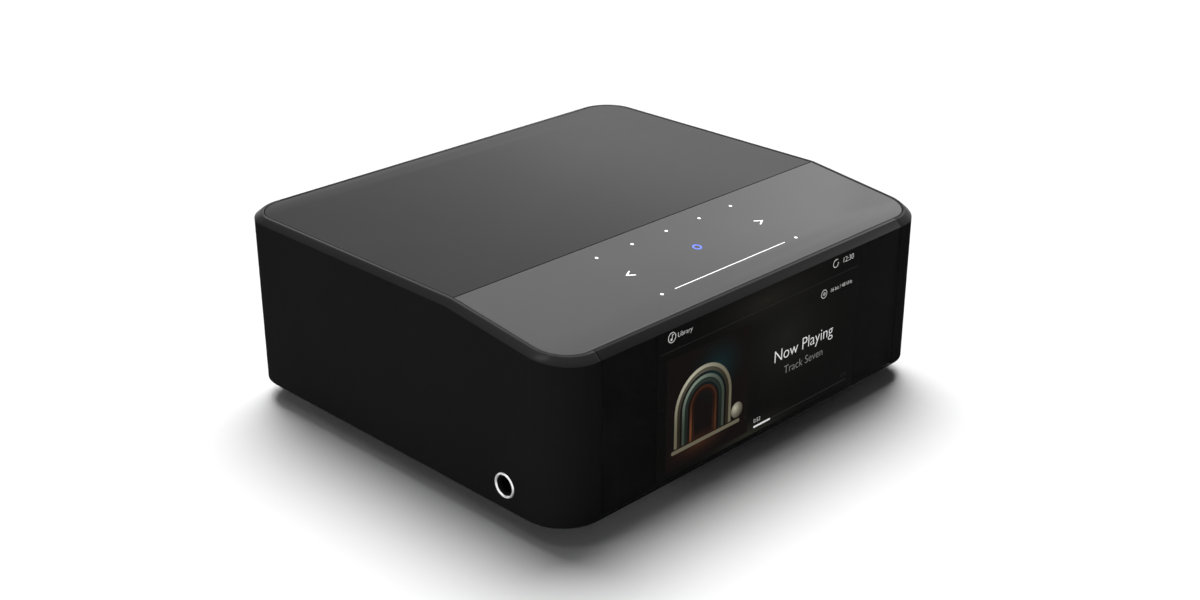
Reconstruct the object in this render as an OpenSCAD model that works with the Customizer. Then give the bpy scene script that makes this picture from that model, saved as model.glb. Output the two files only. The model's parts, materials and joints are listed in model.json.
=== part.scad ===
// Network music streamer: low desktop housing with a display behind the front glass, a tilted touch glass,
// a flat rear cover, headphone sockets in both sides and a recessed connector bay at the back.
// Millimetres. +X is right, the front faces -Y, +Z is up, and the origin is on the table under the middle.

/* [Housing] */
// Width over the side walls
body_w = 220; // [212:1:260]
// Depth from the front glass to the rear edge
body_d = 193.5; // [188:0.5:240]
// Height from the table to the flat top
body_h = 84.5; // [83:0.5:100]
// Radius of the upright corners
corner_r = 18; // [15:0.5:22]
// Thickness of the walls
wall_t = 4; // [3.6:0.1:5]
// Width of the bevel along the top edge
bevel_in = 2.7; // [1.5:0.1:3]
// Height of the bevel along the top edge
bevel_drop = 2.1; // [1.5:0.1:3]
// Gap from the table to the underside of the walls
foot_gap = 9.5; // [7:0.5:14]
// Front face to the crease in the top
glass_run = 60.9; // [58:0.1:75]
// Tilt of the touch glass in degrees
glass_tilt = 7.4; // [4:0.2:8.4]
// End of the corner round to the upright seam
seam_past = 1.6; // [0.5:0.1:4]
// Width of the open seams
seam_gap = 0.3; // [0.2:0.05:0.6]

/* [Top panels] */
// Thickness of the rear cover and of the touch glass
panel_t = 2.5; // [1.5:0.1:3.5]
// Gap round the cover and the touch glass
panel_gap = 0.35; // [0.2:0.05:0.6]
// Width of the shelf that carries the panels
shelf_w = 5; // [3:0.5:7]
// Thickness of that shelf
shelf_t = 2.5; // [1.5:0.1:4]

/* [Touch panel] */
// Middle to the outermost legend
key_x = 40.3; // [30:0.1:46]
// Spacing of the five rear legends
key_pitch = 20; // [15:0.5:22]
// Crease to the rear row of legends
row_rear = 8.85; // [8:0.05:12]
// Crease to the middle row of legends
row_mid = 25.76; // [20:0.02:30]
// Crease to the front row of legends
row_front = 44.05; // [38:0.05:45]
// Half length of the slide bar legend
bar_half = 33; // [25:0.5:35]
// Radius of a light well
well_r = 2.2; // [1.5:0.1:3]
// Margin of the light guide round its wells
guide_margin = 5; // [4:0.5:7]
// Thickness of the light guide
guide_t = 2.5; // [1.5:0.1:4]
// Side of a touch light
light_w = 1.6; // [1:0.1:2]
// Height of a touch light
light_h = 0.8; // [0.5:0.1:1.2]

/* [Front] */
// Thickness of the front glass
glass_t = 1.2; // [0.8:0.1:1.8]
// Left seam to the display panel
display_left = 31.1; // [28:0.1:40]
// Right seam to the display panel
display_right = 27.3; // [26:0.1:40]
// Rail of the fascia under the display
rail_low = 1.2; // [0.8:0.1:3]
// Rail of the fascia over the display
rail_high = 0.6; // [0.4:0.1:3]
// Play of the display in its window
display_play = 0.2; // [0.1:0.05:0.4]
// Overlap of the display bracket past the window
bracket_lap = 8; // [7:0.5:12]
// Drop of the bracket under the top of the display
bracket_low = 8; // [7:0.5:14]
// Thickness of the bracket sheet
bracket_t = 1.2; // [0.8:0.1:2]
// Height of the bracket's spacers
spacer_h = 3; // [2:0.5:5]
// Width of the display driver board
driver_w = 84; // [60:1:100]
// Height of the display driver board
driver_h = 30; // [24:1:34]

/* [Base] */
// Thickness of the base plate
base_t = 2; // [1.6:0.1:3]
// Play of the base plate inside the walls
base_play = 0.3; // [0.2:0.05:0.6]
// Radius of a screw boss
boss_r = 4; // [3:0.1:4.5]
// Front face to the front boss of a side shell
boss_front = 70; // [66:0.5:80]
// Rear edge to the rear boss of a side shell
boss_rear = 20; // [18:0.5:26]
// Seam to a boss of the fascia and of the rear frame
boss_seam = 13; // [12:0.5:14]
// Housing outline to the plinth
plinth_in = 22; // [18:0.5:30]
// Corner radius of the plinth
plinth_r = 12; // [8:0.5:16]
// Wall of the plinth
plinth_wall = 3; // [2:0.5:5]
// Plinth outline to its screw posts
post_in = 24; // [16:0.5:40]
// Thickness of the rubber foot pad
pad_t = 2.5; // [2:0.1:4]
// Depth of the pad's seat in the plinth
pad_seat = 1; // [0.5:0.1:1.5]
// Plinth outline to the pad
pad_in = 4; // [3:0.5:8]
// Play of the pad in its seat
pad_play = 0.2; // [0.1:0.05:0.4]

/* [Screws] */
// Radius of a housing screw's shank
screw_r = 1.25; // [1:0.05:1.4]
// Radius of a housing screw's head
head_r = 2.6; // [2.2:0.1:3]
// Height of a housing screw's head
head_h = 1.8; // [1.2:0.1:2.2]
// Reach of a housing screw into its boss
screw_reach = 3.5; // [2.5:0.1:3.6]
// Radius of a small screw's shank
small_r = 0.9; // [0.7:0.05:1.1]
// Radius of a small screw's head
small_head_r = 1.9; // [1.6:0.1:2]
// Height of a small screw's head
small_head_h = 1.4; // [1:0.1:1.6]
// Play of a shank in its hole
screw_play = 0.05; // [0.03:0.01:0.1]

/* [Headphone sockets] */
// Front face to the socket axis
jack_back = 30.85; // [28:0.05:40]
// Height of the pads under the socket boards
jack_pad = 0.8; // [0.5:0.1:2]
// Height of a socket body
jack_h = 10.8; // [9.6:0.1:13]
// Width of a socket body
jack_w = 13; // [11:0.5:16]
// Length of a socket body
jack_l = 30; // [28:0.5:34]
// Radius of the socket bore
jack_bore_r = 3.25; // [3.2:0.01:3.35]
// Depth of the socket bore
jack_bore_l = 26; // [20:0.5:27]
// Radius of the bright ring
ring_r = 5.15; // [4.9:0.05:6]
// Radius of the ring's sleeve
sleeve_r = 4.6; // [4.3:0.05:4.8]
// Height of the ring over the wall
ring_proud = 0.4; // [0.2:0.05:0.6]
// Radius of the ring's flared mouth
flare_r = 3.75; // [3.6:0.05:4]

/* [Boards] */
// Thickness of the circuit boards
board_t = 1.6; // [1:0.1:2]
// Height of the stand-offs on the base plate
standoff_h = 9.4; // [8.5:0.1:12]
// Radius of a stand-off
standoff_r = 2.6; // [2.2:0.1:3]
// Gap between board edges and what is beside them
board_gap = 3; // [2.5:0.5:5]
// Board edge to the centre of a fixing
fix_in = 5; // [4:0.5:6]
// Rear edge of a board to its rear fixings, clear of the connectors
fix_back = 24; // [22:0.5:28]
// Headphone boards to the front edge of the main board
jack_clear = 11.5; // [8:0.5:12]
// Depth of the converter board
analog_d = 58; // [50:1:64]
// Depth of the power board
power_d = 104; // [95:1:110]
// Height of the pillars that carry the converter board
pillar_h = 18.2; // [16:0.1:20]
// Thickness of the flat ribbons
ribbon_t = 0.4; // [0.2:0.05:0.6]
// Width of the flat ribbons
ribbon_w = 18; // [10:1:24]

/* [Connector bay] */
// Depth of the bay behind the rear edge
bay_depth = 10; // [9.5:0.1:14]
// Seam to the side of the bay
bay_side = 6.4; // [5.5:0.1:8]
// Wall of the bay
bay_wall = 1.6; // [1.2:0.1:2]
// Width of the lip that carries the connector plate
lip_w = 5; // [4.8:0.1:5.5]
// Thickness of that lip
lip_t = 2; // [1.5:0.1:3]
// Thickness of the connector plate
plate_t = 1.2; // [0.8:0.1:2]
// Play of the plate in the bay and of the connectors in the plate
port_play = 0.3; // [0.2:0.05:0.4]
// Height of the connectors' noses over the plate
port_proud = 1; // [0.8:0.1:1.5]

/* [Digital connectors] */
// Width of the network socket
network_w = 16; // [15.5:0.1:17]
// Height of the network socket
network_h = 13.4; // [12.8:0.1:14]
// Length of the network socket
network_l = 21; // [18:0.5:24]
// Width of the optical socket
optical_w = 9.8; // [9.4:0.1:11]
// Height of the optical socket
optical_h = 10; // [9.6:0.1:11]
// Width of the optical plug hole
plug_w = 6.4; // [6:0.1:6.6]
// Height of the optical plug hole
plug_h = 6.2; // [5.8:0.1:6.4]
// Depth of the optical plug hole
plug_l = 12.4; // [12:0.1:13]
// Thickness of the optical shutter
shutter_t = 0.8; // [0.6:0.05:0.9]
// Radius of the shutter's pivot
pivot_r = 0.45; // [0.4:0.01:0.5]
// Running clearance of the pivot
pivot_play = 0.05; // [0.03:0.01:0.08]
// Width of a small jack socket
mini_w = 8; // [7.6:0.1:9]
// Spacing of the small jack sockets
mini_pitch = 11; // [10:0.1:11.5]
// Radius of a small jack socket's bore
mini_bore_r = 1.8; // [1.75:0.01:1.9]
// Depth of a small jack socket's bore
mini_bore_l = 14; // [12:0.1:15]

/* [Analog connectors] */
// Side of a balanced socket's body
balanced_w = 26; // [24:0.1:26]
// Spacing of the balanced sockets
balanced_pitch = 29; // [27:0.1:30]
// Radius of a balanced socket's hole
balanced_r = 9.4; // [9:0.1:9.6]
// Balanced sockets to the middle of the first pair of phono sockets
phono_side = 12; // [10:0.5:13]
// Spacing of the two pairs of phono sockets
phono_pitch = 18; // [14:0.5:20]
// Spacing of the two phono sockets of a pair
phono_rise = 14; // [12:0.1:14]
// Outer radius of a phono sleeve
phono_r = 4.15; // [4.1:0.01:4.2]
// Wall of a phono sleeve
phono_wall = 0.7; // [0.5:0.05:0.9]
// Radius of a phono socket's centre hole
phono_bore_r = 1.65; // [1.6:0.01:1.75]
// Reach of a phono sleeve past the connector plate
phono_reach = 8.4; // [7:0.1:9]

/* [Mains inlet] */
// Bay lip to the middle of the inlet
inlet_side = 14; // [13:0.5:16]
// Width of the inlet's body
inlet_w = 24; // [22:0.5:26]
// Height of the inlet's body
inlet_h = 16; // [14:0.5:18]
// Radius of the two lobes of the inlet's hole
lobe_r = 4.4; // [4.2:0.1:4.6]
// Spacing of the two pins
pin_pitch = 8.6; // [8.4:0.1:9]
// Radius of a mains pin
pin_r = 1.18; // [1.1:0.01:1.25]

/* [Hidden] */
$fn = 64;
eps = 0.01;
// Reach of the cutting shapes past the faces that they cut
over = 3;
// How far a boss runs into its wall
bite = 0.5;
// Longer than anything in the model
far = body_w + body_d;

// Housing
half_w = body_w / 2;
half_d = body_d / 2;
y_crease = glass_run - half_d;
seam_x = half_w - corner_r - seam_past;
bevel_rise = bevel_drop / bevel_in;
// Extra radius of the bevel's front corners, which lie on the slope, where the upright round is an ellipse
slope_round = 0.3;
tilt_run = glass_run / cos(glass_tilt);
// Height of the lower edge of the front bevel, where the tilted bevel meets the upright front
bevel_reach = bevel_in * cos(glass_tilt) / (cos(glass_tilt) - bevel_rise * sin(glass_tilt));
z_rim = body_h - (tilt_run - bevel_in) * sin(glass_tilt);
z_front = z_rim - bevel_reach * (sin(glass_tilt) + bevel_rise * cos(glass_tilt));
inner_w = half_w - wall_t;
inner_d = half_d - wall_t;

// Base
base_top = foot_gap + base_t;
plinth_z = pad_t - pad_seat;
side_boss_x = inner_w - boss_r + bite;
end_boss_y = inner_d - boss_r + bite;
boss_under = 1.5;
boss_h = standoff_h - boss_under;
side_boss_y = [boss_front - half_d, half_d - boss_rear];
end_boss_x = seam_x - boss_seam;
plinth_fix = [half_w - plinth_in - post_in, half_d - plinth_in - post_in];

// Boards
board_z = base_top + standoff_h;
board_top = board_z + board_t;
analog_z = board_top + pillar_h;
analog_top = analog_z + board_t;
// Depth of the thread in a stand-off or pillar, and grip of the screw or stud in it
thread_l = 6;
grip_l = 4;

// Connector bay
bay_half = seam_x - bay_side;
bay_z0 = board_top - lip_w - port_play;
y_plate = half_d - bay_depth;
y_lip = y_plate - plate_t;
y_lip_in = y_lip - lip_t;
y_board = y_lip_in - port_play;
lip_half = bay_half - lip_w;
y_nose = y_plate + port_proud;
inlet_x = lip_half - inlet_side;
inlet_z = board_top + inlet_h / 2;
mini_side = 5.5;
mini_x = [for (i = [0:3]) -lip_half + mini_side + i * mini_pitch];
mini_z = board_top + mini_w / 2;
mini_nose_r = 3;
mini_l = 13;
balanced_side = 15;
balanced_x = [for (i = [0:1]) -lip_half + balanced_side + i * balanced_pitch];
balanced_z = analog_top + balanced_w / 2;
nose_wall = 0.6;
balanced_nose_r = balanced_r + nose_wall;
balanced_l = 17;
balanced_depth = 9;
balanced_pin_r = 1.2;
balanced_pin_circle = 4.6;
balanced_pin_l = 10.5;
phono_x = balanced_x[1] + balanced_w / 2 + phono_side;
phono_xs = [for (i = [0:1]) phono_x + i * phono_pitch];
phono_low = 6;
phono_zs = [for (i = [0:1]) analog_top + phono_low + i * phono_rise];
phono_w = 11;
phono_l = 13;
phono_floor = 0.5;
bay_z1 = max(phono_zs[1] + phono_r, balanced_z + balanced_nose_r) + 2 * port_play + lip_w;
inlet_l = 17;
inlet_hole_l = 12.5;
inlet_nose_wall = 1.3;
inlet_nose_r = lobe_r + inlet_nose_wall;
pin_l = 10;

// Headphone sockets
jack_y = jack_back - half_d;
jack_z = base_top + jack_pad + board_t + jack_h / 2;
jack_margin = [4, 6];
jack_board = [jack_l + jack_margin[0], jack_w + jack_margin[1]];
jack_pad_in = 6;

// Board outlines, each as low X, high X, low Y, high Y
power_x0 = inlet_x - inlet_w / 2 - board_gap;
main_y = jack_y + jack_board[1] / 2 + jack_clear;
main_area = [-inner_w + board_gap, power_x0 - board_gap, main_y, y_board];
power_area = [power_x0, inner_w - board_gap, y_board - power_d, y_board];
analog_area = [-inner_w + board_gap, phono_xs[1] + phono_w, y_board - analog_d, y_board];
analog_fix = corners(analog_area);
power_fix = corners(power_area);
main_fix = [
  [main_area[0] + fix_in, main_area[2] + fix_in],
  [main_area[1] - fix_in, main_area[2] + fix_in],
  [main_area[1] - fix_in, (main_area[2] + main_area[3]) / 2]
];

// Display
window_x = [-seam_x + display_left, seam_x - display_right];
window_z = [foot_gap + rail_low, z_front - rail_high];
y_window = -half_d + glass_t;
y_bracket = -inner_d;
bracket_x = [window_x[0] - bracket_lap, window_x[1] + bracket_lap];
bracket_foot = 3;
bracket_z = [base_top + bracket_foot, window_z[1] - bracket_low];
bracket_fix_x = [bracket_x[0] + bracket_lap / 2, bracket_x[1] - bracket_lap / 2];
bracket_fix_in = 7;
bracket_fix_z = [bracket_z[0] + bracket_fix_in, bracket_z[1] - bracket_fix_in];
bracket_grip = 0.75;
bracket_screw_reach = (wall_t - glass_t) * bracket_grip;
y_spacer = y_bracket + bracket_t;
y_driver = y_spacer + spacer_h;
driver_low = 6;
driver_z = [board_top + driver_low, board_top + driver_low + driver_h];
driver_tip = 0.5;
y_driver_back = y_driver + board_t;

// Touch stack, measured square to the tilted glass
guide_z = -panel_t * cos(glass_tilt);
touch_board_z = guide_z - guide_t;
touch_under = touch_board_z - board_t;
ribbon_foot = 3;
guide_half = max(key_x, 2 * key_pitch) + well_r + guide_margin;
dot_keys = [for (i = [-2:2]) [i * key_pitch, -row_rear]];
mid_keys = [for (i = [-1:1]) [i * key_x, -row_mid]];
end_keys = [for (i = [-1, 1]) [i * key_x, -row_front]];
bar_lights = [for (i = [-2:2]) [i * bar_half * 2 / 5, -row_front]];

// Data socket and video sound socket: body and hole, and the contact tongue set back in the hole
data_size = [14, 16.5, 7];
data_hole = [12.6, 5.2];
data_hole_l = 11.5;
data_hole_z = board_top + (data_size[2] - data_hole[1]) / 2;
data_tongue = [11, 1.8];
data_over = 1;
data_tongue_z = data_hole_z + data_hole[1] - data_over;
video_size = [15.4, 13, 6.4];
video_hole = [14, 4.6];
video_hole_l = 9.5;
video_mid = board_top + video_size[2] / 2;
video_tongue = [11.2, 1.2];
video_bevel = 1.6;
tongue_back = 2.4;

// Digital sockets, spread evenly between the small jacks and the mains inlet
mini_end = mini_x[3] + mini_w / 2;
inlet_start = inlet_x - inlet_w / 2;
port_gap = (inlet_start - mini_end - optical_w - video_size[0] - data_size[0] - network_w) / 5;
optical_x = mini_end + port_gap + optical_w / 2;
video_x = optical_x + (optical_w + video_size[0]) / 2 + port_gap;
data_x = video_x + (video_size[0] + data_size[0]) / 2 + port_gap;
network_x = data_x + (data_size[0] + network_w) / 2 + port_gap;

// Optical output
optical_l = 15;
plug_floor = 1.6;
plug_z = board_top + plug_floor;
plug_top = plug_z + plug_h;
plug_x = [optical_x - plug_w / 2, optical_x + plug_w / 2];
// Connector plate to the shutter, radius of its barrel, its gap to the floor and play on its sides and roof
shutter_back = 2.2;
barrel_r = 0.6;
shutter_foot = 0.25;
shutter_play = 0.1;
roof_play = 0.15;
y_shutter = y_lip - shutter_back;
pivot_z = plug_top + barrel_r;
shutter_x = [plug_x[0] + shutter_play, plug_x[1] - shutter_play];
trunnion_l = 0.9;
// Length of the hollow behind the shutter, past the height of the plug hole
hollow_past = 1.6;

// Network socket
network_hole = [11.8, 6.7];
network_hole_l = 13;
network_floor = 4;
network_hole_z = board_top + network_floor;
network_step = [6.2, 1.5];
network_notch = [3.4, 2.6];
network_pitch = 1.02;
network_wire = 0.5;

// Main board: processor, cooler, memory and radio
chip_shift = 20;
chip_at = [(main_area[0] + main_area[1]) / 2 + chip_shift, (main_area[2] + analog_area[2]) / 2];
chip_size = [17, 17, 1.6];
sink_w = 42;
sink_base = 3;
sink_h = 15;
fin_count = 9;
fin_t = 1.4;
memory_size = [12, 8, 1.1];
memory_pitch = 11;
memory_gap = 2;
radio_size = [24, 32, 1];
radio_can = [21, 23, 3];
radio_side = 14;
aerial_size = [0.8, 42, 9];

// Converter board
link_size = [36, 6, pillar_h];
link_shift = 20;
link_back = 4;
link_at = [(analog_area[0] + analog_area[1] - link_size[0]) / 2 + link_shift, analog_area[2] + link_back];
converter_size = [10, 10, 1.5];
converter_rows = [6, 20];
can_r = 4;
can_h = 11;
can_pitch = [10, 12];
can_side = 14;
can_back = 9;
can_at = [phono_xs[0] - can_side, analog_area[2] + can_back];

// Power board
power_mid = (power_area[0] + power_area[1]) / 2;
core_size = [32, 14, 27];
core_leg = 6;
core_back = 42;
coil_r = 9.6;
bulk_back = 16;
bulk_size = [9, 30];
bulk_x = -10;
smooth_size = [5.4, 21];
smooth_at = [12, 7];
cooler_size = [3, 46, 30];
cooler_at = [1, 21];
cooler_fin = [4, 2];
cooler_pitch = 8;
loom_y = [8.5, 19];
loom_x = [8, 6.5];
loom_rise = 5;
loom_t = 1;
loom_foot = 4;

// The four fixings of a board: two by its front corners, two behind its connectors
function corners(a) = [for (x = [a[0] + fix_in, a[1] - fix_in], y = [a[2] + fix_in, a[3] - fix_back]) [x, y]];

// Rounded rectangle about the origin
module plan(w, d, r) {
  square([w - 2 * r, d], center = true);
  square([w, d - 2 * r], center = true);
  for (sx = [-1, 1], sy = [-1, 1])
    translate([sx * (w / 2 - r), sy * (d / 2 - r)]) circle(r);
}

// Upright prism on the housing outline, moved in by a margin
module column(inset, z0, z1) {
  translate([0, 0, z0])
    linear_extrude(z1 - z0) plan(body_w - 2 * inset, body_d - 2 * inset, corner_r - inset);
}

// Box between two corners
module block(x, y, z) {
  translate([x[0], y[0], z[0]]) cube([x[1] - x[0], y[1] - y[0], z[1] - z[0]]);
}

// Profile in Y and Z, drawn along X
module along_x(x0, x1) {
  translate([x0, 0, 0]) rotate([90, 0, 90]) linear_extrude(x1 - x0) children();
}

// Profile in X and Z, drawn along Y
module along_y(y0, y1) {
  translate([0, y1, 0]) rotate([90, 0, 0]) linear_extrude(y1 - y0) children();
}

// Rod along Y
module rod_y(x, z, r, y0, y1) {
  translate([x, y1, z]) rotate([90, 0, 0]) cylinder(h = y1 - y0, r = r);
}

// Everything under the creased roof, lowered by a depth
module under_roof(depth) {
  top = body_h - depth;
  along_x(-far, far)
    polygon([[-far, -far], [far, -far], [far, top], [y_crease, top],
      [-far, top - (y_crease + far) * tan(glass_tilt)]]);
}

// Places children in the frame of the tilted glass: origin on the crease, Y up the slope
module on_slope() {
  translate([0, y_crease, body_h]) rotate([glass_tilt, 0, 0]) children();
}

// Section of the bevel cutter at a wall
function bevel_section(wall) = [
  [wall - bevel_in - over, over * bevel_rise],
  [wall + over, -(bevel_in + over) * bevel_rise],
  [wall + over, over * bevel_rise]
];

// Bevel cutter round one end of a roof: the end wall is at +Y, and the side edges run back from it
module bevel_cutter(reach, run, r) {
  corner_x = half_w - r;
  corner_y = reach - r;
  along_x(-corner_x, corner_x) polygon(bevel_section(reach));
  for (side = [0, 1]) mirror([side, 0, 0]) {
    along_y(corner_y - run, corner_y) polygon(bevel_section(half_w));
    translate([corner_x, corner_y, 0]) rotate_extrude(angle = 90) polygon(bevel_section(r));
  }
}

// Solid outer form of the housing
module housing_form() {
  difference() {
    intersection() {
      column(0, foot_gap, body_h + over);
      under_roof(0);
    }
    translate([0, 0, body_h]) bevel_cutter(half_d, body_d, corner_r);
    on_slope() mirror([0, 1, 0]) bevel_cutter(tilt_run, body_d, corner_r + slope_round);
  }
}

// Hollow ring of walls with the pocket and the shelf for the top panels
module wall_ring() {
  difference() {
    housing_form();
    intersection() {
      column(wall_t, foot_gap - over, body_h + over);
      under_roof(panel_t + shelf_t);
    }
    column(wall_t + shelf_w, foot_gap - over, body_h + 2 * over);
    difference() {
      column(wall_t, foot_gap, body_h + over);
      under_roof(panel_t);
    }
  }
}

// Screw boss on the base plate
module boss(x, y, h) {
  difference() {
    translate([x, y, base_top]) cylinder(h = h, r = boss_r);
    boss_bore(x, y);
  }
}

// Screw hole of a boss
module boss_bore(x, y) {
  translate([x, y, base_top - over])
    cylinder(h = over + screw_reach + 2 * screw_play, r = screw_r + screw_play);
}

module side_shell(side) {
  color("#1b1b1d") mirror([side < 0 ? 1 : 0, 0, 0]) {
    difference() {
      intersection() {
        wall_ring();
        block([seam_x + seam_gap / 2, far], [-far, far], [0, far]);
      }
      translate([inner_w - over, jack_y, jack_z]) rotate([0, 90, 0])
        cylinder(h = wall_t + 2 * over, r = sleeve_r + screw_play);
    }
    for (y = side_boss_y) boss(side_boss_x, y, boss_h);
  }
}

module side_shell_left() { side_shell(-1); }
module side_shell_right() { side_shell(1); }

// Carrier between the front seams: bevelled top strip, display window and screw bosses
module front_fascia() {
  edge = seam_x - seam_gap / 2;
  color("#161618") {
    difference() {
      intersection() {
        wall_ring();
        block([-edge, edge], [-far, y_crease - over], [0, far]);
      }
      block([-far, far], [-far, y_window], [0, z_front]);
      block([window_x[0] - display_play, window_x[1] + display_play], [-far, y_bracket + eps],
        [window_z[0] - display_play, window_z[1] + display_play]);
      for (x = bracket_fix_x, z = bracket_fix_z)
        rod_y(x, z, small_r + screw_play, y_bracket - bracket_screw_reach - screw_play, y_bracket + over);
    }
    for (side = [-1, 1]) boss(side * end_boss_x, -end_boss_y, boss_h);
  }
}

module front_glass() {
  edge = seam_x - seam_gap / 2;
  color("#0b0b0c") block([-edge, edge], [-half_d, y_window], [foot_gap, z_front]);
}

// Panel set in the pocket between two distances from the front
module roof_panel(y0, y1) {
  intersection() {
    column(wall_t + panel_gap, foot_gap, body_h + over);
    difference() {
      under_roof(0);
      under_roof(panel_t);
    }
    block([-far, far], [y0, y1], [0, far]);
  }
}

module top_cover() {
  color("#4a4a4c") roof_panel(y_crease + panel_gap / 2, far);
}

module touch_glass() {
  color("#5c5c5f") roof_panel(-far, y_crease - panel_gap / 2);
}

// Rear wall with the recessed connector bay and the lip that carries the connector plate
module rear_frame() {
  edge = seam_x - seam_gap / 2;
  color("#1b1b1d") difference() {
    union() {
      intersection() {
        wall_ring();
        block([-edge, edge], [y_crease + over, far], [0, far]);
      }
      block([-bay_half - bay_wall, bay_half + bay_wall], [y_lip_in, half_d - wall_t / 2],
        [bay_z0 - bay_wall, bay_z1 + bay_wall]);
      for (side = [-1, 1]) translate([side * end_boss_x, end_boss_y, base_top])
        cylinder(h = bay_z0 - bay_wall / 2 - base_top, r = boss_r);
    }
    block([-bay_half, bay_half], [y_lip, far], [bay_z0, bay_z1]);
    block([-lip_half, lip_half], [0, far], [bay_z0 + lip_w, bay_z1 - lip_w]);
    for (side = [-1, 1]) boss_bore(side * end_boss_x, end_boss_y);
    for (p = plate_fix()) rod_y(p[0], p[1], small_r + screw_play, y_lip_in - over, far);
  }
}

// Fixings of the connector plate, on the middle of the lip
function plate_fix() = [
  for (x = [-bay_half + lip_w / 2, 0, bay_half - lip_w / 2])
    for (z = [bay_z0 + lip_w / 2, bay_z1 - lip_w / 2]) [x, z]
];

// Outline of the mains inlet's nose or hole: two lobes and the waist between them
module inlet_outline(r, waist) {
  for (side = [-1, 1]) translate([inlet_x + side * pin_pitch / 2, inlet_z]) circle(r);
  translate([inlet_x, inlet_z]) square([pin_pitch, waist], center = true);
}

// Box of a board-mounted connector that reaches through the connector plate
module port_box(x, w, l, h, grow = 0) {
  block([x - w / 2 - grow, x + w / 2 + grow], [y_nose - l, y_nose], [board_top - grow, board_top + h + grow]);
}

module io_plate() {
  cut = [y_lip - over, y_plate + over];
  color("#2a2a2c") difference() {
    block([-bay_half + port_play, bay_half - port_play], [y_lip, y_plate],
      [bay_z0 + port_play, bay_z1 - port_play]);
    port_box(network_x, network_w, network_l, network_h, port_play);
    port_box(data_x, data_size[0], data_size[1], data_size[2], port_play);
    port_box(video_x, video_size[0], video_size[1], video_size[2], port_play);
    port_box(optical_x, optical_w, optical_l, optical_h, port_play);
    along_y(cut[0], cut[1]) inlet_outline(inlet_nose_r + port_play, 2 * (inlet_nose_r + port_play));
    for (x = mini_x) rod_y(x, mini_z, mini_nose_r + port_play, cut[0], cut[1]);
    for (x = balanced_x) rod_y(x, balanced_z, balanced_nose_r + port_play, cut[0], cut[1]);
    for (x = phono_xs, z = phono_zs) rod_y(x, z, phono_r + port_play, cut[0], cut[1]);
    for (p = plate_fix()) rod_y(p[0], p[1], small_r + screw_play, cut[0], cut[1]);
  }
}

// Points on the base plate where screws come up into the housing's bosses
function base_fix() = concat(
  [for (side = [-1, 1], y = side_boss_y) [side * side_boss_x, y]],
  [for (side = [-1, 1]) [side * end_boss_x, -end_boss_y]],
  [for (side = [-1, 1]) [side * end_boss_x, end_boss_y]]
);

// Points where screws go down through the base plate into the plinth
function plinth_points() = [for (sx = [-1, 1], sy = [-1, 1]) [sx * plinth_fix[0], sy * plinth_fix[1]]];

module base_plate() {
  color("#202022") {
    difference() {
      column(wall_t + base_play, foot_gap, base_top);
      for (p = concat(base_fix(), plinth_points()))
        translate([p[0], p[1], foot_gap - over]) cylinder(h = base_t + 2 * over, r = screw_r + screw_play);
    }
    for (side = [-1, 1], dx = [jack_pad_in, jack_l - jack_pad_in])
      translate([side * (inner_w - board_gap - dx), jack_y, base_top]) cylinder(h = jack_pad, r = boss_r);
  }
}

// Recessed pedestal: a dish with four screw posts, and a seat underneath for the pad
module plinth() {
  w = body_w - 2 * plinth_in;
  d = body_d - 2 * plinth_in;
  color("#121213") difference() {
    union() {
      difference() {
        translate([0, 0, plinth_z]) linear_extrude(foot_gap - plinth_z) plan(w, d, plinth_r);
        translate([0, 0, pad_t + plinth_wall]) linear_extrude(foot_gap)
          plan(w - 2 * plinth_wall, d - 2 * plinth_wall, plinth_r - plinth_wall);
      }
      for (p = plinth_points()) translate([p[0], p[1], pad_t]) cylinder(h = foot_gap - pad_t, r = boss_r);
    }
    translate([0, 0, plinth_z - over]) linear_extrude(over + pad_seat)
      plan(w - 2 * pad_in, d - 2 * pad_in, plinth_r - pad_in);
    for (p = plinth_points()) translate([p[0], p[1], foot_gap - screw_reach - 2 * screw_play])
      cylinder(h = screw_reach + over, r = screw_r + screw_play);
  }
}

module foot_pad() {
  inset = 2 * (plinth_in + pad_in + pad_play);
  color("#0d0d0e") linear_extrude(pad_t)
    plan(body_w - inset, body_d - inset, plinth_r - pad_in - pad_play);
}

// Bright ring: a flange on the wall, a sleeve through it and a flared mouth
module headphone_ring(side) {
  color("#d4d6d8") mirror([side < 0 ? 1 : 0, 0, 0]) translate([half_w, jack_y, jack_z]) rotate([0, 90, 0])
    rotate_extrude() polygon([
      [jack_bore_r, -wall_t], [sleeve_r, -wall_t], [sleeve_r, 0], [ring_r, 0],
      [ring_r, ring_proud / 2], [ring_r - ring_proud / 2, ring_proud], [flare_r, ring_proud],
      [jack_bore_r, -ring_proud]
    ]);
}

module headphone_ring_left() { headphone_ring(-1); }
module headphone_ring_right() { headphone_ring(1); }

// Socket body against the inside of the side wall, with its plug bore
module headphone_socket(side) {
  color("#101011") mirror([side < 0 ? 1 : 0, 0, 0]) difference() {
    block([inner_w - jack_l, inner_w], [jack_y - jack_w / 2, jack_y + jack_w / 2],
      [jack_z - jack_h / 2, jack_z + jack_h / 2]);
    translate([inner_w - jack_bore_l, jack_y, jack_z]) rotate([0, 90, 0])
      cylinder(h = jack_bore_l + over, r = jack_bore_r);
  }
}

module headphone_socket_left() { headphone_socket(-1); }
module headphone_socket_right() { headphone_socket(1); }

module headphone_boards() {
  color("#1d5a36") for (side = [0, 1]) mirror([side, 0, 0])
    block([inner_w - board_gap - jack_board[0] + 1, inner_w - board_gap + 1],
      [jack_y - jack_board[1] / 2, jack_y + jack_board[1] / 2],
      [jack_z - jack_h / 2 - board_t, jack_z - jack_h / 2]);
}

module display_panel() {
  color("#17171b") block(window_x, [y_window, y_bracket], window_z);
}

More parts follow.
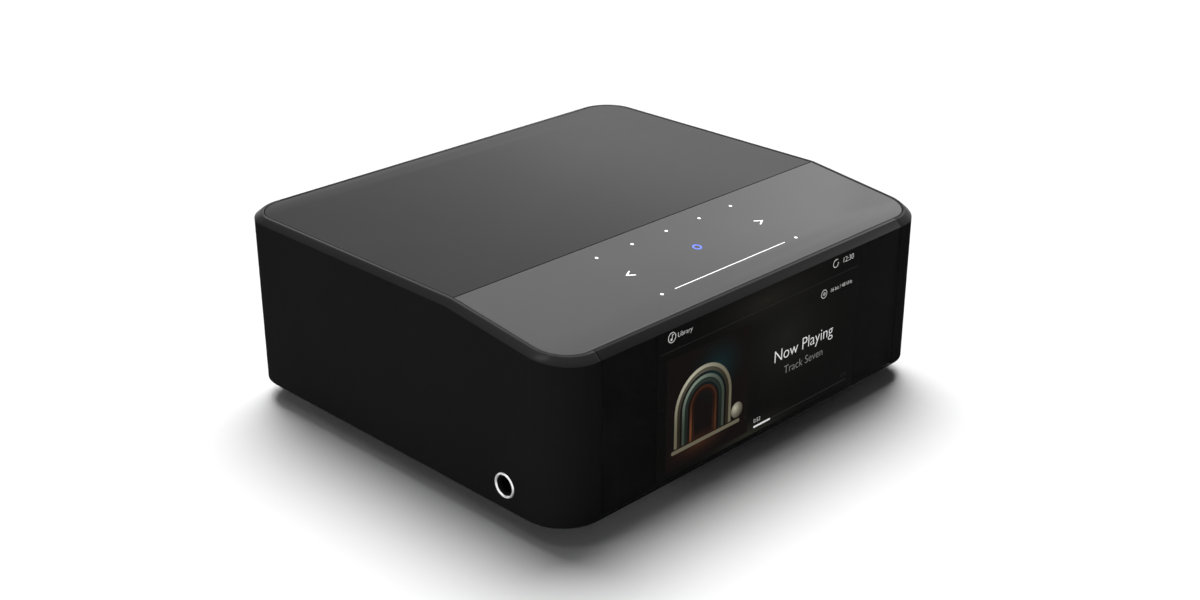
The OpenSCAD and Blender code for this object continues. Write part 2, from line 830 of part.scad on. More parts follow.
// Sheet that holds the display in its window, with spacers for the driver board
module display_bracket() {
  color("#9a9c9e") difference() {
    union() {
      block(bracket_x, [y_bracket, y_spacer], bracket_z);
      for (p = driver_fix()) rod_y(p[0], p[1], standoff_r, y_spacer - bracket_t / 2, y_driver);
    }
    for (x = bracket_fix_x, z = bracket_fix_z)
      rod_y(x, z, small_r + screw_play, y_bracket - over, y_spacer + over);
    for (p = driver_fix())
      rod_y(p[0], p[1], small_r + screw_play, y_bracket + bracket_t / 2, y_driver + over);
  }
}

// Fixings of the driver board
function driver_fix() = [
  for (x = [-driver_w / 2 + fix_in, driver_w / 2 - fix_in])
    for (z = [driver_z[0] + fix_in, driver_z[1] - fix_in]) [x, z]
];

module display_board() {
  color("#1d5a36") difference() {
    block([-driver_w / 2, driver_w / 2], [y_driver, y_driver_back], driver_z);
    for (p = driver_fix()) rod_y(p[0], p[1], small_r + screw_play, y_driver - over, y_driver_back + over);
  }
}

// Flat ribbon: down the back of the driver board, then along the main board
module display_ribbon() {
  x = -ribbon_w;
  z_end = driver_z[0] + fix_in;
  y_end = main_area[2] + 2 * fix_in;
  color("#c9c2a8") along_x(x - ribbon_w / 2, x + ribbon_w / 2) polygon([
    [y_driver_back, z_end], [y_driver_back + ribbon_t, z_end],
    [y_driver_back + ribbon_t, board_top + ribbon_t], [y_end, board_top + ribbon_t],
    [y_end, board_top], [y_driver_back, board_top]
  ]);
}

// Plate under the touch glass with a light well under each legend
module touch_guide() {
  color("#e4e4e0") on_slope() difference() {
    translate([-guide_half, -row_front - guide_margin, touch_board_z])
      cube([2 * guide_half, row_front - row_rear + 2 * guide_margin, guide_t]);
    for (p = concat(dot_keys, mid_keys, end_keys))
      translate([p[0], p[1], touch_board_z - over]) cylinder(h = guide_t + 2 * over, r = well_r);
    translate([-bar_half, -row_front - well_r, touch_board_z - over])
      cube([2 * bar_half, 2 * well_r, guide_t + 2 * over]);
  }
}

module touch_board() {
  color("#1d5a36") on_slope() translate([-guide_half, -row_front - guide_margin, touch_under])
    cube([2 * guide_half, row_front - row_rear + 2 * guide_margin, board_t]);
}

module touch_lights() {
  color("#f2f0e2") on_slope() for (p = concat(dot_keys, mid_keys, end_keys, bar_lights))
    translate([p[0] - light_w / 2, p[1] - light_w / 2, touch_board_z]) cube([light_w, light_w, light_h]);
}

// Flat ribbon from the underside of the touch board down to the main board
module touch_ribbon() {
  x = ribbon_w;
  y = y_crease - row_rear * cos(glass_tilt);
  color("#c9c2a8") intersection() {
    along_x(x - ribbon_w / 2, x + ribbon_w / 2) polygon([
      [y, board_top], [y, body_h], [y + ribbon_t, body_h], [y + ribbon_t, board_top + ribbon_t],
      [y + ribbon_foot, board_top + ribbon_t], [y + ribbon_foot, board_top]
    ]);
    under_roof(eps - touch_under / cos(glass_tilt));
  }
}

// Circuit board with its fixing holes
module board(area, z, fixings) {
  color("#1d5a36") difference() {
    block([area[0], area[1]], [area[2], area[3]], [z, z + board_t]);
    for (p = fixings)
      translate([p[0], p[1], z - over]) cylinder(h = board_t + 2 * over, r = small_r + screw_play);
  }
}

module main_board() { board(main_area, board_z, concat(main_fix, analog_fix)); }
module analog_board() { board(analog_area, analog_z, analog_fix); }
module power_board() { board(power_area, board_z, power_fix); }

module processor() {
  color("#222326") translate([chip_at[0] - chip_size[0] / 2, chip_at[1] - chip_size[1] / 2, board_top])
    cube(chip_size);
}

// Finned cooler on the processor
module heat_sink() {
  pitch = (sink_w - fin_t) / (fin_count - 1);
  color("#2c2d30") translate([chip_at[0] - sink_w / 2, chip_at[1] - sink_w / 2, board_top + chip_size[2]]) {
    cube([sink_w, sink_w, sink_base]);
    for (i = [0 : fin_count - 1]) translate([i * pitch, 0, 0]) cube([fin_t, sink_w, sink_h]);
  }
}

module memory_chips() {
  color("#222326") for (i = [0:3])
    translate([chip_at[0] + sink_w / 2 + memory_gap, chip_at[1] - sink_w / 2 + i * memory_pitch, board_top])
      cube(memory_size);
}

// Screened radio module with its stepped can
module wireless_module() {
  rim = (radio_size[0] - radio_can[0]) / 2;
  color("#c6c8ca") translate([main_area[0] + radio_side, chip_at[1] - radio_size[1] / 2, board_top]) {
    cube(radio_size);
    translate([rim, rim, 0]) cube(radio_can);
  }
}

// Strip aerials on the inside of both side walls
module antennas() {
  color("#b08d4a") for (side = [0, 1]) mirror([side, 0, 0])
    translate([inner_w - aerial_size[0], y_crease, analog_top]) cube(aerial_size);
}

// Threaded spacers under the boards
module board_standoffs() {
  color("#c8a24a") for (p = concat(main_fix, analog_fix, power_fix))
    translate([p[0], p[1], base_top]) difference() {
      cylinder(h = standoff_h, r = standoff_r);
      translate([0, 0, standoff_h - thread_l]) cylinder(h = thread_l + over, r = small_r + screw_play);
    }
}

// Threaded pillars between the two stacked boards, each with a stud through the lower one
module board_pillars() {
  color("#c8a24a") for (p = analog_fix) translate([p[0], p[1], board_top]) difference() {
    union() {
      cylinder(h = pillar_h, r = standoff_r);
      translate([0, 0, -board_t - grip_l]) cylinder(h = board_t + grip_l + eps, r = small_r);
    }
    translate([0, 0, pillar_h - thread_l]) cylinder(h = thread_l + over, r = small_r + screw_play);
  }
}

// Plug-in link between the two stacked boards
module link_header() {
  color("#1a1a1b") translate([link_at[0], link_at[1], board_top]) cube(link_size);
}

module converter_chips() {
  color("#222326") for (x = balanced_x, row = converter_rows)
    translate([x - converter_size[0] / 2, analog_area[2] + row, analog_top]) cube(converter_size);
}

module signal_capacitors() {
  color("#2b3a63") for (i = [0:3], j = [0:1])
    translate([can_at[0] + i * can_pitch[0], can_at[1] + j * can_pitch[1], analog_top])
      cylinder(h = can_h, r = can_r);
}

// Mains transformer: wound bobbin between the two legs of a closed core
module power_transformer() {
  window = [core_size[0] - 2 * core_leg, 2 * core_size[1], core_size[2] - 2 * core_leg];
  color("#4a4136") translate([power_mid, power_area[2] + core_back, board_top]) {
    difference() {
      translate([-core_size[0] / 2, -core_size[1] / 2, 0]) cube(core_size);
      translate([-window[0] / 2, -window[1] / 2, core_leg]) cube(window);
    }
    translate([0, 0, core_leg - eps]) cylinder(h = window[2] + 2 * eps, r = coil_r);
  }
}

module bulk_capacitors() {
  color("#1c2430") translate([power_mid, power_area[2] + bulk_back, board_top]) {
    translate([bulk_x, 0, 0]) cylinder(h = bulk_size[1], r = bulk_size[0]);
    for (side = [-1, 1]) translate([smooth_at[0], side * smooth_at[1], 0])
      cylinder(h = smooth_size[1], r = smooth_size[0]);
  }
}

// Upright finned plate beside the transformer
module power_heat_sink() {
  color("#a4a6a8") translate([power_area[0] + cooler_at[0], power_area[2] + cooler_at[1], board_top]) {
    cube(cooler_size);
    for (i = [0:5]) translate([cooler_size[0] - eps, cooler_fin[1] + i * cooler_pitch, 0])
      cube([cooler_fin[0], cooler_fin[1], cooler_size[2]]);
  }
}

// Flat wire loom that bridges the power board and the main board
module power_loom() {
  x0 = main_area[1] - loom_x[0];
  x1 = power_area[0] + loom_x[1];
  crown = board_top + loom_rise;
  color("#7a2b26") along_y(power_area[2] + loom_y[0], power_area[2] + loom_y[1]) polygon([
    [x0, board_top], [x0 + loom_foot, board_top],
    [x0 + loom_foot * 1.5, crown - loom_t], [x1 - loom_foot * 1.5, crown - loom_t],
    [x1 - loom_foot, board_top], [x1, board_top],
    [x1 - loom_foot * 0.75, crown], [x0 + loom_foot * 0.75, crown]
  ]);
}

// Two-pole mains inlet: body on the power board, nose through the plate, hole of two lobes and a waist
module mains_inlet() {
  waist = 1.5 * lobe_r;
  color("#111112") difference() {
    union() {
      block([inlet_x - inlet_w / 2, inlet_x + inlet_w / 2], [y_board - inlet_l, y_board],
        [board_top, board_top + inlet_h]);
      along_y(y_board - eps, y_nose) inlet_outline(inlet_nose_r, 2 * inlet_nose_r);
    }
    along_y(y_nose - inlet_hole_l, y_nose + over) inlet_outline(lobe_r, waist);
  }
}

module mains_pins() {
  back = y_nose - inlet_hole_l;
  color("#c9ccce") for (side = [-1, 1])
    rod_y(inlet_x + side * pin_pitch / 2, inlet_z, pin_r, back, back + pin_l);
}

// Network socket: screened box, plug hole and the step of the plug's latch
module network_socket() {
  color("#b9bbbd") difference() {
    port_box(network_x, network_w, network_l, network_h);
    along_y(y_nose - network_hole_l, y_nose + over) translate([network_x, network_hole_z]) {
      translate([-network_hole[0] / 2, 0]) square(network_hole);
      for (cut = [network_step, network_notch])
        translate([-cut[0] / 2, -cut[1]]) square([cut[0], cut[1] + eps]);
    }
  }
}

// Eight spring contacts under the roof of the network socket
module network_contacts() {
  z = network_hole_z + network_hole[1];
  color("#c9a53e") for (i = [0:7]) translate([network_x + (i - 3.5) * network_pitch, 0, 0])
    block([-network_wire / 2, network_wire / 2], [y_nose - network_hole_l, y_nose - over],
      [z - network_wire, z]);
}

module data_socket() {
  color("#b9bbbd") difference() {
    port_box(data_x, data_size[0], data_size[1], data_size[2]);
    block([data_x - data_hole[0] / 2, data_x + data_hole[0] / 2], [y_nose - data_hole_l, y_nose + over],
      [data_hole_z, data_hole_z + data_hole[1]]);
  }
}

// Video sound socket: the hole is bevelled at its lower corners
module video_socket() {
  x = video_hole[0] / 2;
  z = video_hole[1] / 2;
  color("#b9bbbd") difference() {
    port_box(video_x, video_size[0], video_size[1], video_size[2]);
    along_y(y_nose - video_hole_l, y_nose + over) translate([video_x, video_mid])
      polygon([[-x, z], [x, z], [x, video_bevel - z], [x - video_bevel, -z],
        [video_bevel - x, -z], [-x, video_bevel - z]]);
  }
}

// Contact tongues of the two data sockets, set back from their mouths
module port_tongues() {
  front = y_nose - tongue_back;
  color("#1a1a1b") {
    block([data_x - data_tongue[0] / 2, data_x + data_tongue[0] / 2], [y_nose - data_hole_l, front],
      [data_tongue_z - data_tongue[1], data_tongue_z]);
    block([video_x - video_tongue[0] / 2, video_x + video_tongue[0] / 2], [y_nose - video_hole_l, front],
      [video_mid - video_tongue[1] / 2, video_mid + video_tongue[1] / 2]);
  }
}

// Rod along the shutter's pivot
module rod_x(x0, x1, r) {
  translate([x0, y_shutter, pivot_z]) rotate([0, 90, 0]) cylinder(h = x1 - x0, r = r);
}

// Optical output: plug hole, a hollow in its roof where the shutter folds away, and the pivot holes
module optical_socket() {
  hollow_back = y_shutter - plug_h - hollow_past;
  color("#141416") difference() {
    port_box(optical_x, optical_w, optical_l, optical_h);
    block(plug_x, [y_nose - plug_l, y_nose + over], [plug_z, plug_top]);
    block(plug_x, [hollow_back, y_shutter + barrel_r + roof_play],
      [plug_top - eps, pivot_z + barrel_r + roof_play]);
    rod_x(plug_x[0] - trunnion_l - shutter_play, plug_x[1] + trunnion_l + shutter_play, pivot_r + pivot_play);
  }
}

// Spring-loaded shutter that closes the optical plug hole and swings in and up
module optical_shutter() {
  color("#2b2b2e") {
    block(shutter_x, [y_shutter - shutter_t / 2, y_shutter + shutter_t / 2],
      [plug_z + shutter_foot, pivot_z]);
    rod_x(shutter_x[0], shutter_x[1], barrel_r);
    rod_x(plug_x[0] - trunnion_l, plug_x[1] + trunnion_l, pivot_r);
  }
}

// Insulator of a phono socket, with the hole for the plug's pin
module phono_insert(x, z) {
  difference() {
    rod_y(x, z, phono_r - phono_wall, y_board, y_plate + phono_reach - nose_wall);
    rod_y(x, z, phono_bore_r, y_board + phono_floor, far);
  }
}

// Stacked phono housings: the second pair has its insulators moulded in one with it
module phono_housings() {
  color("#151516") {
    for (x = phono_xs)
      block([x - phono_w / 2, x + phono_w / 2], [y_board - phono_l, y_board],
        [analog_top, phono_zs[1] + phono_low]);
    for (z = phono_zs) translate([0, -eps, 0]) phono_insert(phono_xs[1], z);
  }
}

module phono_sleeves() {
  color("#d0b060") for (x = phono_xs, z = phono_zs) difference() {
    rod_y(x, z, phono_r, y_board, y_plate + phono_reach);
    rod_y(x, z, phono_r - phono_wall, y_board - over, far);
  }
}

module phono_insert_left() { color("#e8e8e6") phono_insert(phono_xs[0], phono_zs[1]); }
module phono_insert_right() { color("#b3202a") phono_insert(phono_xs[0], phono_zs[0]); }

// Balanced outputs: square body, round nose through the plate and a round hole for the plug
module balanced_sockets() {
  color("#161617") for (x = balanced_x) difference() {
    union() {
      block([x - balanced_w / 2, x + balanced_w / 2], [y_board - balanced_l, y_board],
        [analog_top, analog_top + balanced_w]);
      rod_y(x, balanced_z, balanced_nose_r, y_board - eps, y_nose);
    }
    rod_y(x, balanced_z, balanced_r, y_board - balanced_depth, y_nose + over);
  }
}

module balanced_pins() {
  color("#c9ccce") for (x = balanced_x, a = [90, 210, 330])
    rod_y(x + balanced_pin_circle * cos(a), balanced_z - balanced_pin_circle * sin(a), balanced_pin_r,
      y_board - balanced_depth, y_board - balanced_depth + balanced_pin_l);
}

// Small jack sockets for the analog inputs, the trigger and the remote receiver
module minijack_sockets() {
  color("#17171a") for (x = mini_x) difference() {
    union() {
      block([x - mini_w / 2, x + mini_w / 2], [y_board - mini_l, y_board], [board_top, board_top + mini_w]);
      rod_y(x, mini_z, mini_nose_r, y_board - eps, y_nose);
    }
    rod_y(x, mini_z, mini_bore_r, y_nose - mini_bore_l, y_nose + over);
  }
}

// Pan-head screw that stands on its head's seat and points up
module screw(r, reach, cap_r, cap_h) {
  cylinder(h = reach, r = r);
  translate([0, 0, -cap_h]) cylinder(h = cap_h, r = cap_r);
}

module base_screws() {
  color("#8c8e90") {
    for (p = base_fix()) translate([p[0], p[1], foot_gap])
      screw(screw_r, base_t + screw_reach, head_r, head_h);
    for (p = plinth_points()) translate([p[0], p[1], base_top]) mirror([0, 0, 1])
      screw(screw_r, base_t + screw_reach, head_r, head_h);
  }
}

module rear_screws() {
  color("#8c8e90") for (p = plate_fix()) translate([p[0], y_plate, p[1]]) rotate([90, 0, 0])
    screw(small_r, plate_t + lip_t + 1, small_head_r, small_head_h);
}

module board_screws() {
  color("#8c8e90") {
    for (p = concat(main_fix, power_fix)) translate([p[0], p[1], board_top]) mirror([0, 0, 1])
      screw(small_r, board_t + grip_l, small_head_r, small_head_h);
    for (p = analog_fix) translate([p[0], p[1], analog_top]) mirror([0, 0, 1])
      screw(small_r, board_t + grip_l, small_head_r, small_head_h);
    for (x = bracket_fix_x, z = bracket_fix_z) translate([x, y_spacer, z]) rotate([90, 0, 0])
      screw(small_r, bracket_t + bracket_screw_reach, small_head_r, small_head_h);
    for (p = driver_fix()) translate([p[0], y_driver_back, p[1]]) rotate([90, 0, 0])
      screw(small_r, board_t + spacer_h - driver_tip, small_head_r, small_head_h);
  }
}

side_shell_left();
side_shell_right();
front_fascia();
front_glass();
top_cover();
touch_glass();
rear_frame();
io_plate();
base_plate();
plinth();
foot_pad();
headphone_ring_left();
headphone_ring_right();
headphone_socket_left();
headphone_socket_right();
headphone_boards();
display_panel();
display_bracket();
display_board();
display_ribbon();
touch_guide();
touch_board();
touch_lights();
touch_ribbon();
main_board();
processor();
heat_sink();
memory_chips();
wireless_module();
antennas();
board_standoffs();
board_pillars();
link_header();
analog_board();
converter_chips();
signal_capacitors();
power_board();
power_transformer();
bulk_capacitors();
power_heat_sink();
power_loom();
mains_inlet();
mains_pins();
network_socket();
network_contacts();
data_socket();
video_socket();
port_tongues();
optical_socket();
optical_shutter();
phono_housings();
phono_sleeves();
phono_insert_left();
phono_insert_right();
balanced_sockets();
balanced_pins();
minijack_sockets();
base_screws();
rear_screws();
board_screws();
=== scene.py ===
"""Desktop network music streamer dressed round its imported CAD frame: shells, glass, lit page and legends."""
import json
import math

import bmesh
import bpy
from mathutils import Matrix, Vector


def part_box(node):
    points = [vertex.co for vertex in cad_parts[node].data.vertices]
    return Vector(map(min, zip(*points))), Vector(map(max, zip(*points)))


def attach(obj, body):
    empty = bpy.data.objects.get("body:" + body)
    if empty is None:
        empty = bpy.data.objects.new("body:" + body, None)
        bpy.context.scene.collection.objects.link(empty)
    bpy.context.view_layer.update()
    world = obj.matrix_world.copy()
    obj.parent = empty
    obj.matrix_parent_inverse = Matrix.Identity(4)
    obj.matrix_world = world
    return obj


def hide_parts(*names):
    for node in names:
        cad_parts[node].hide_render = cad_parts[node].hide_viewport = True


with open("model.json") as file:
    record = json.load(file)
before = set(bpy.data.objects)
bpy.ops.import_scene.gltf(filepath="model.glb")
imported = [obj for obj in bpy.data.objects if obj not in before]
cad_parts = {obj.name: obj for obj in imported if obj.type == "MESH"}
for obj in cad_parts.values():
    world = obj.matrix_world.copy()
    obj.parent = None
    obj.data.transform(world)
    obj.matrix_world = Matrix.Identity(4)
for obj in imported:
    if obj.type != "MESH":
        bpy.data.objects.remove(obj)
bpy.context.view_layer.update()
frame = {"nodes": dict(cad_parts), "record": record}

MM = 0.001
HOUSING = "housing"

# Places read from the frame
glass_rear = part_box("touch_glass")[1].y
pane_low, pane_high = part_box("front_glass")
screen_low, screen_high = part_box("display_panel")
cover_low, cover_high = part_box("top_cover")

# The touch glass tilts down from the crease between it and the cover
GLASS_TILT = math.radians(7.4)
CREASE_Y = (glass_rear + cover_low.y) / 2
CREASE_Z = cover_high.z
# Thickness of the lit layers on the screen and of the legends on the touch glass
LAYER = 0.03 * MM
# Air between the front pane and the screen
SCREEN_AIR = 0.2 * MM


# Shader nodes

def rgba(colour):
    """Grey level or three numbers as a colour socket's value."""
    if isinstance(colour, (int, float)):
        colour = (colour, colour, colour)
    return (*colour, 1)


def add_node(tree, kind, **settings):
    """New shader node with its own settings, such as an operation."""
    made = tree.nodes.new("ShaderNode" + kind)
    for key, value in settings.items():
        setattr(made, key, value)
    return made


def set_socket(tree, socket, value):
    """Gives a socket its value, or links it where the value is another socket."""
    if isinstance(value, bpy.types.NodeSocket):
        tree.links.new(value, socket)
    else:
        socket.default_value = value


def join_values(tree, operation, first, second):
    """Math on a socket and a second socket or number."""
    made = add_node(tree, "Math", operation=operation)
    set_socket(tree, made.inputs[0], first)
    set_socket(tree, made.inputs[1], second)
    return made.outputs["Value"]


def map_range(tree, value, span, low, high):
    """Maps a value from its span to the range between two ends, which are sockets or numbers."""
    fit = add_node(tree, "MapRange")
    fit.inputs["From Min"].default_value, fit.inputs["From Max"].default_value = span
    tree.links.new(value, fit.inputs["Value"])
    set_socket(tree, fit.inputs["To Min"], low)
    set_socket(tree, fit.inputs["To Max"], high)
    return fit.outputs["Result"]


def flat_colour(tree, colour):
    """Socket of one plain colour."""
    made = add_node(tree, "RGB")
    made.outputs["Color"].default_value = rgba(colour)
    return made.outputs["Color"]


def mix_colours(tree, factor, first, second):
    """Colour mix of two sockets by a third."""
    mix = add_node(tree, "Mix", data_type="RGBA")
    tree.links.new(factor, mix.inputs["Factor"])
    tree.links.new(first, mix.inputs["A"])
    tree.links.new(second, mix.inputs["B"])
    return mix.outputs["Result"]


def object_noise(tree, scale, detail, stretch=(1, 1, 1)):
    """Noise on Object coordinates. scale is a number, or the socket that gives it."""
    place = add_node(tree, "TexCoord")
    turn = add_node(tree, "Mapping")
    turn.inputs["Scale"].default_value = stretch
    noise = add_node(tree, "TexNoise")
    noise.inputs["Detail"].default_value = detail
    tree.links.new(place.outputs["Object"], turn.inputs["Vector"])
    tree.links.new(turn.outputs["Vector"], noise.inputs["Vector"])
    set_socket(tree, noise.inputs["Scale"], scale)
    return noise.outputs["Fac"]


# Shader groups

# Part of a noise's range that most of the surface falls in
NOISE_SPAN = (0.35, 0.65)
PATCH_DETAIL = 2
# Circuit boards: share of a cell that its track takes, and grain of the lacquer per metre
TRACK_SHARE = 0.06
LACQUER_GRAIN = 300
# Lit areas: pixels' lines per metre, and how dark the net between them is
PIXEL_PITCH = 4000
PIXEL_NET = 0.25
SKIN_INPUTS = [
    ("Deep", "Color", (0, 0, 0, 1)),
    ("Pale", "Color", (1, 1, 1, 1)),
    ("Grain", "Float", 2000),
    ("Smooth", "Float", 0.3),
    ("Rough", "Float", 0.5),
]
SKIN_OUTPUTS = [("Colour", "Color"), ("Roughness", "Float"), ("Height", "Float")]


def new_group(name, inputs, outputs):
    """Empty shader group with named sockets, and its input and output nodes."""
    tree = bpy.data.node_groups.new(name, "ShaderNodeTree")
    for socket, kind, value in inputs:
        made = tree.interface.new_socket(socket, in_out="INPUT", socket_type="NodeSocket" + kind)
        made.default_value = value
    for socket, kind in outputs:
        tree.interface.new_socket(socket, in_out="OUTPUT", socket_type="NodeSocket" + kind)
    return tree, tree.nodes.new("NodeGroupInput"), tree.nodes.new("NodeGroupOutput")


def finish_skin(tree, given, result, colour_mask, sheen_mask, height):
    """Links a skin's masks to its colour, its roughness and its height."""
    colour = mix_colours(tree, colour_mask, given.outputs["Deep"], given.outputs["Pale"])
    sheen = map_range(tree, sheen_mask, NOISE_SPAN, given.outputs["Smooth"], given.outputs["Rough"])
    tree.links.new(colour, result.inputs["Colour"])
    tree.links.new(sheen, result.inputs["Roughness"])
    tree.links.new(height, result.inputs["Height"])
    return tree


def make_skin(name, patch_scale, stretch, detail):
    """Surface with a fine grain in its relief and sheen, and broad soft patches in its colour."""
    tree, given, result = new_group(name, SKIN_INPUTS, SKIN_OUTPUTS)
    grain = object_noise(tree, given.outputs["Grain"], detail, stretch)
    patch = object_noise(tree, patch_scale, PATCH_DETAIL)
    return finish_skin(tree, given, result, patch, grain, grain)


def make_board_print():
    """Circuit board: lacquer over a net of copper tracks, with the tracks standing a little proud."""
    tree, given, result = new_group("board_print", SKIN_INPUTS, SKIN_OUTPUTS)
    place = add_node(tree, "TexCoord")
    tracks = add_node(tree, "TexVoronoi", feature="DISTANCE_TO_EDGE", distance="EUCLIDEAN")
    tree.links.new(place.outputs["Object"], tracks.inputs["Vector"])
    tree.links.new(given.outputs["Grain"], tracks.inputs["Scale"])
    line = join_values(tree, "LESS_THAN", tracks.outputs["Distance"], TRACK_SHARE)
    lacquer = object_noise(tree, LACQUER_GRAIN, PATCH_DETAIL)
    return finish_skin(tree, given, result, line, lacquer, line)


def make_lit_pixels():
    """Colour of a lit area, with the fine net of dark lines between its pixels."""
    tree, given, result = new_group(
        "lit_pixels",
        [("Colour", "Color", (1, 1, 1, 1)), ("Pitch", "Float", PIXEL_PITCH),
         ("Net", "Float", PIXEL_NET)],
        [("Colour", "Color")])
    place = add_node(tree, "TexCoord")
    net = given.outputs["Net"]
    for direction in ("X", "Z"):
        wave = add_node(tree, "TexWave", wave_type="BANDS", bands_direction=direction)
        tree.links.new(place.outputs["Object"], wave.inputs["Vector"])
        tree.links.new(given.outputs["Pitch"], wave.inputs["Scale"])
        net = join_values(tree, "MULTIPLY", net, wave.outputs["Fac"])
    colour = mix_colours(tree, net, given.outputs["Colour"], flat_colour(tree, 0))
    tree.links.new(colour, result.inputs["Colour"])
    return tree


def make_glow_spot():
    """Soft round mask about a point: 1 at the point, 0 at the reach."""
    tree, given, result = new_group(
        "glow_spot",
        [("Centre", "Vector", (0, 0, 0)), ("Reach", "Vector", (1, 1, 1))],
        [("Mask", "Float")])
    place = add_node(tree, "TexCoord")
    offset = add_node(tree, "VectorMath", operation="SUBTRACT")
    shrink = add_node(tree, "VectorMath", operation="DIVIDE")
    ball = add_node(tree, "TexGradient", gradient_type="QUADRATIC_SPHERE")
    tree.links.new(place.outputs["Object"], offset.inputs[0])
    tree.links.new(given.outputs["Centre"], offset.inputs[1])
    tree.links.new(offset.outputs["Vector"], shrink.inputs[0])
    tree.links.new(given.outputs["Reach"], shrink.inputs[1])
    tree.links.new(shrink.outputs["Vector"], ball.inputs["Vector"])
    tree.links.new(ball.outputs["Fac"], result.inputs["Mask"])
    return tree


MOULDED = make_skin("moulded_skin", patch_scale=22, stretch=(1, 1, 1), detail=3)
BRUSHED = make_skin("brushed_skin", patch_scale=60, stretch=(0.04, 1, 1), detail=4)
POLISHED = make_skin("polished_skin", patch_scale=35, stretch=(1, 1, 1), detail=1)
BOARD = make_board_print()
PIXELS = make_lit_pixels()
GLOW = make_glow_spot()


# Materials

BUMP_STRENGTH = 0.5


def new_material(name):
    """Material with its node tree and its Principled shader."""
    made = bpy.data.materials.new(name)
    made.use_nodes = True
    return made, made.node_tree, made.node_tree.nodes["Principled BSDF"]


def place_group(tree, group, values):
    """Group node with its own values."""
    made = add_node(tree, "Group", node_tree=group)
    for key, value in values.items():
        made.inputs[key].default_value = value
    return made


def place_skin(tree, shader, group, deep, pale, grain, sheen):
    """Skin group that feeds the shader's colour and roughness."""
    skin = place_group(tree, group, {
        "Deep": rgba(deep), "Pale": rgba(pale), "Grain": grain, "Smooth": sheen[0], "Rough": sheen[1]})
    tree.links.new(skin.outputs["Colour"], shader.inputs["Base Color"])
    tree.links.new(skin.outputs["Roughness"], shader.inputs["Roughness"])
    return skin


def make_finish(name, group, deep, pale, grain, sheen, metallic=0.0, specular=0.5, relief=0.0):
    """Finish from a skin group. sheen is the lowest and highest roughness, relief the grain's height."""
    made, tree, shader = new_material(name)
    skin = place_skin(tree, shader, group, deep, pale, grain, sheen)
    shader.inputs["Metallic"].default_value = metallic
    shader.inputs["Specular IOR Level"].default_value = specular
    if relief:
        bump = add_node(tree, "Bump")
        bump.inputs["Strength"].default_value = BUMP_STRENGTH
        bump.inputs["Distance"].default_value = relief
        tree.links.new(skin.outputs["Height"], bump.inputs["Height"])
        tree.links.new(bump.outputs["Normal"], shader.inputs["Normal"])
    return made


# Slot: group, deep and pale colour, grain per metre, roughness range, metallic, specular level, relief
FINISHES = {
    "satin_shell": (MOULDED, 0.0100, 0.0118, 3200, (0.52, 0.62), 0, 0.0, 0.006 * MM),
    "cover_grey": (MOULDED, 0.0415, 0.0465, 3600, (0.34, 0.42), 0, 0.082, 0.004 * MM),
    "touch_glass": (POLISHED, 0.111, 0.117, 120, (0.28, 0.29), 0, 0.15, 0),
    "dark_steel": (MOULDED, 0.012, 0.018, 2400, (0.42, 0.55), 0, 0.3, 0.006 * MM),
    "base_plastic": (MOULDED, 0.010, 0.016, 1800, (0.5, 0.62), 0, 0.3, 0.01 * MM),
    "foot_rubber": (MOULDED, 0.008, 0.013, 1400, (0.75, 0.88), 0, 0.2, 0.02 * MM),
    "bright_ring": (POLISHED, 0.86, 0.96, 200, (0.06, 0.12), 1, 0.5, 0),
    "socket_black": (MOULDED, 0.006, 0.010, 2200, (0.38, 0.5), 0, 0.3, 0.006 * MM),
    "plain_steel": (BRUSHED, 0.42, 0.56, 900, (0.28, 0.42), 1, 0.5, 0.003 * MM),
    "circuit_board": (BOARD, (0.012, 0.07, 0.03), (0.03, 0.12, 0.05), 260, (0.3, 0.42), 0, 0.4, 0.03 * MM),
    "chip_plastic": (MOULDED, 0.016, 0.024, 2600, (0.5, 0.62), 0, 0.3, 0.005 * MM),
    "light_plastic": (MOULDED, 0.66, 0.76, 1500, (0.4, 0.5), 0, 0.4, 0.004 * MM),
    "ribbon_film": (BRUSHED, (0.42, 0.36, 0.22), (0.6, 0.53, 0.36), 700, (0.3, 0.4), 0, 0.4, 0.004 * MM),
    "sink_black": (BRUSHED, 0.030, 0.046, 800, (0.35, 0.48), 1, 0.5, 0.004 * MM),
    "sink_plain": (BRUSHED, 0.46, 0.60, 800, (0.3, 0.44), 1, 0.5, 0.004 * MM),
    "gilt_brass": (POLISHED, (0.72, 0.50, 0.18), (0.86, 0.66, 0.30), 260, (0.12, 0.22), 1, 0.5, 0),
    "can_sleeve": (POLISHED, (0.02, 0.03, 0.08), (0.03, 0.05, 0.12), 300, (0.2, 0.3), 0, 0.5, 0),
    "core_ferrite": (MOULDED, (0.05, 0.042, 0.032), (0.09, 0.075, 0.055), 900, (0.6, 0.75), 0, 0.3,
                     0.02 * MM),
    "wire_red": (BRUSHED, (0.26, 0.02, 0.016), (0.36, 0.035, 0.025), 900, (0.35, 0.45), 0, 0.4, 0.02 * MM),
    "contact_plate": (BRUSHED, 0.62, 0.76, 1200, (0.16, 0.26), 1, 0.5, 0.001 * MM),
    "port_screen": (BRUSHED, 0.50, 0.62, 1000, (0.24, 0.36), 1, 0.5, 0.002 * MM),
    "insert_white": (MOULDED, 0.70, 0.80, 1400, (0.25, 0.35), 0, 0.5, 0.003 * MM),
    "insert_red": (MOULDED, (0.36, 0.008, 0.014), (0.46, 0.014, 0.022), 1400, (0.25, 0.35), 0, 0.5,
                   0.003 * MM),
    "shutter_grey": (MOULDED, 0.020, 0.028, 2200, (0.4, 0.5), 0, 0.3, 0.004 * MM),
    "zinc_screw": (BRUSHED, 0.40, 0.52, 1400, (0.26, 0.38), 1, 0.5, 0.002 * MM),
}
finishes = {slot: make_finish(slot, *values) for slot, values in FINISHES.items()}
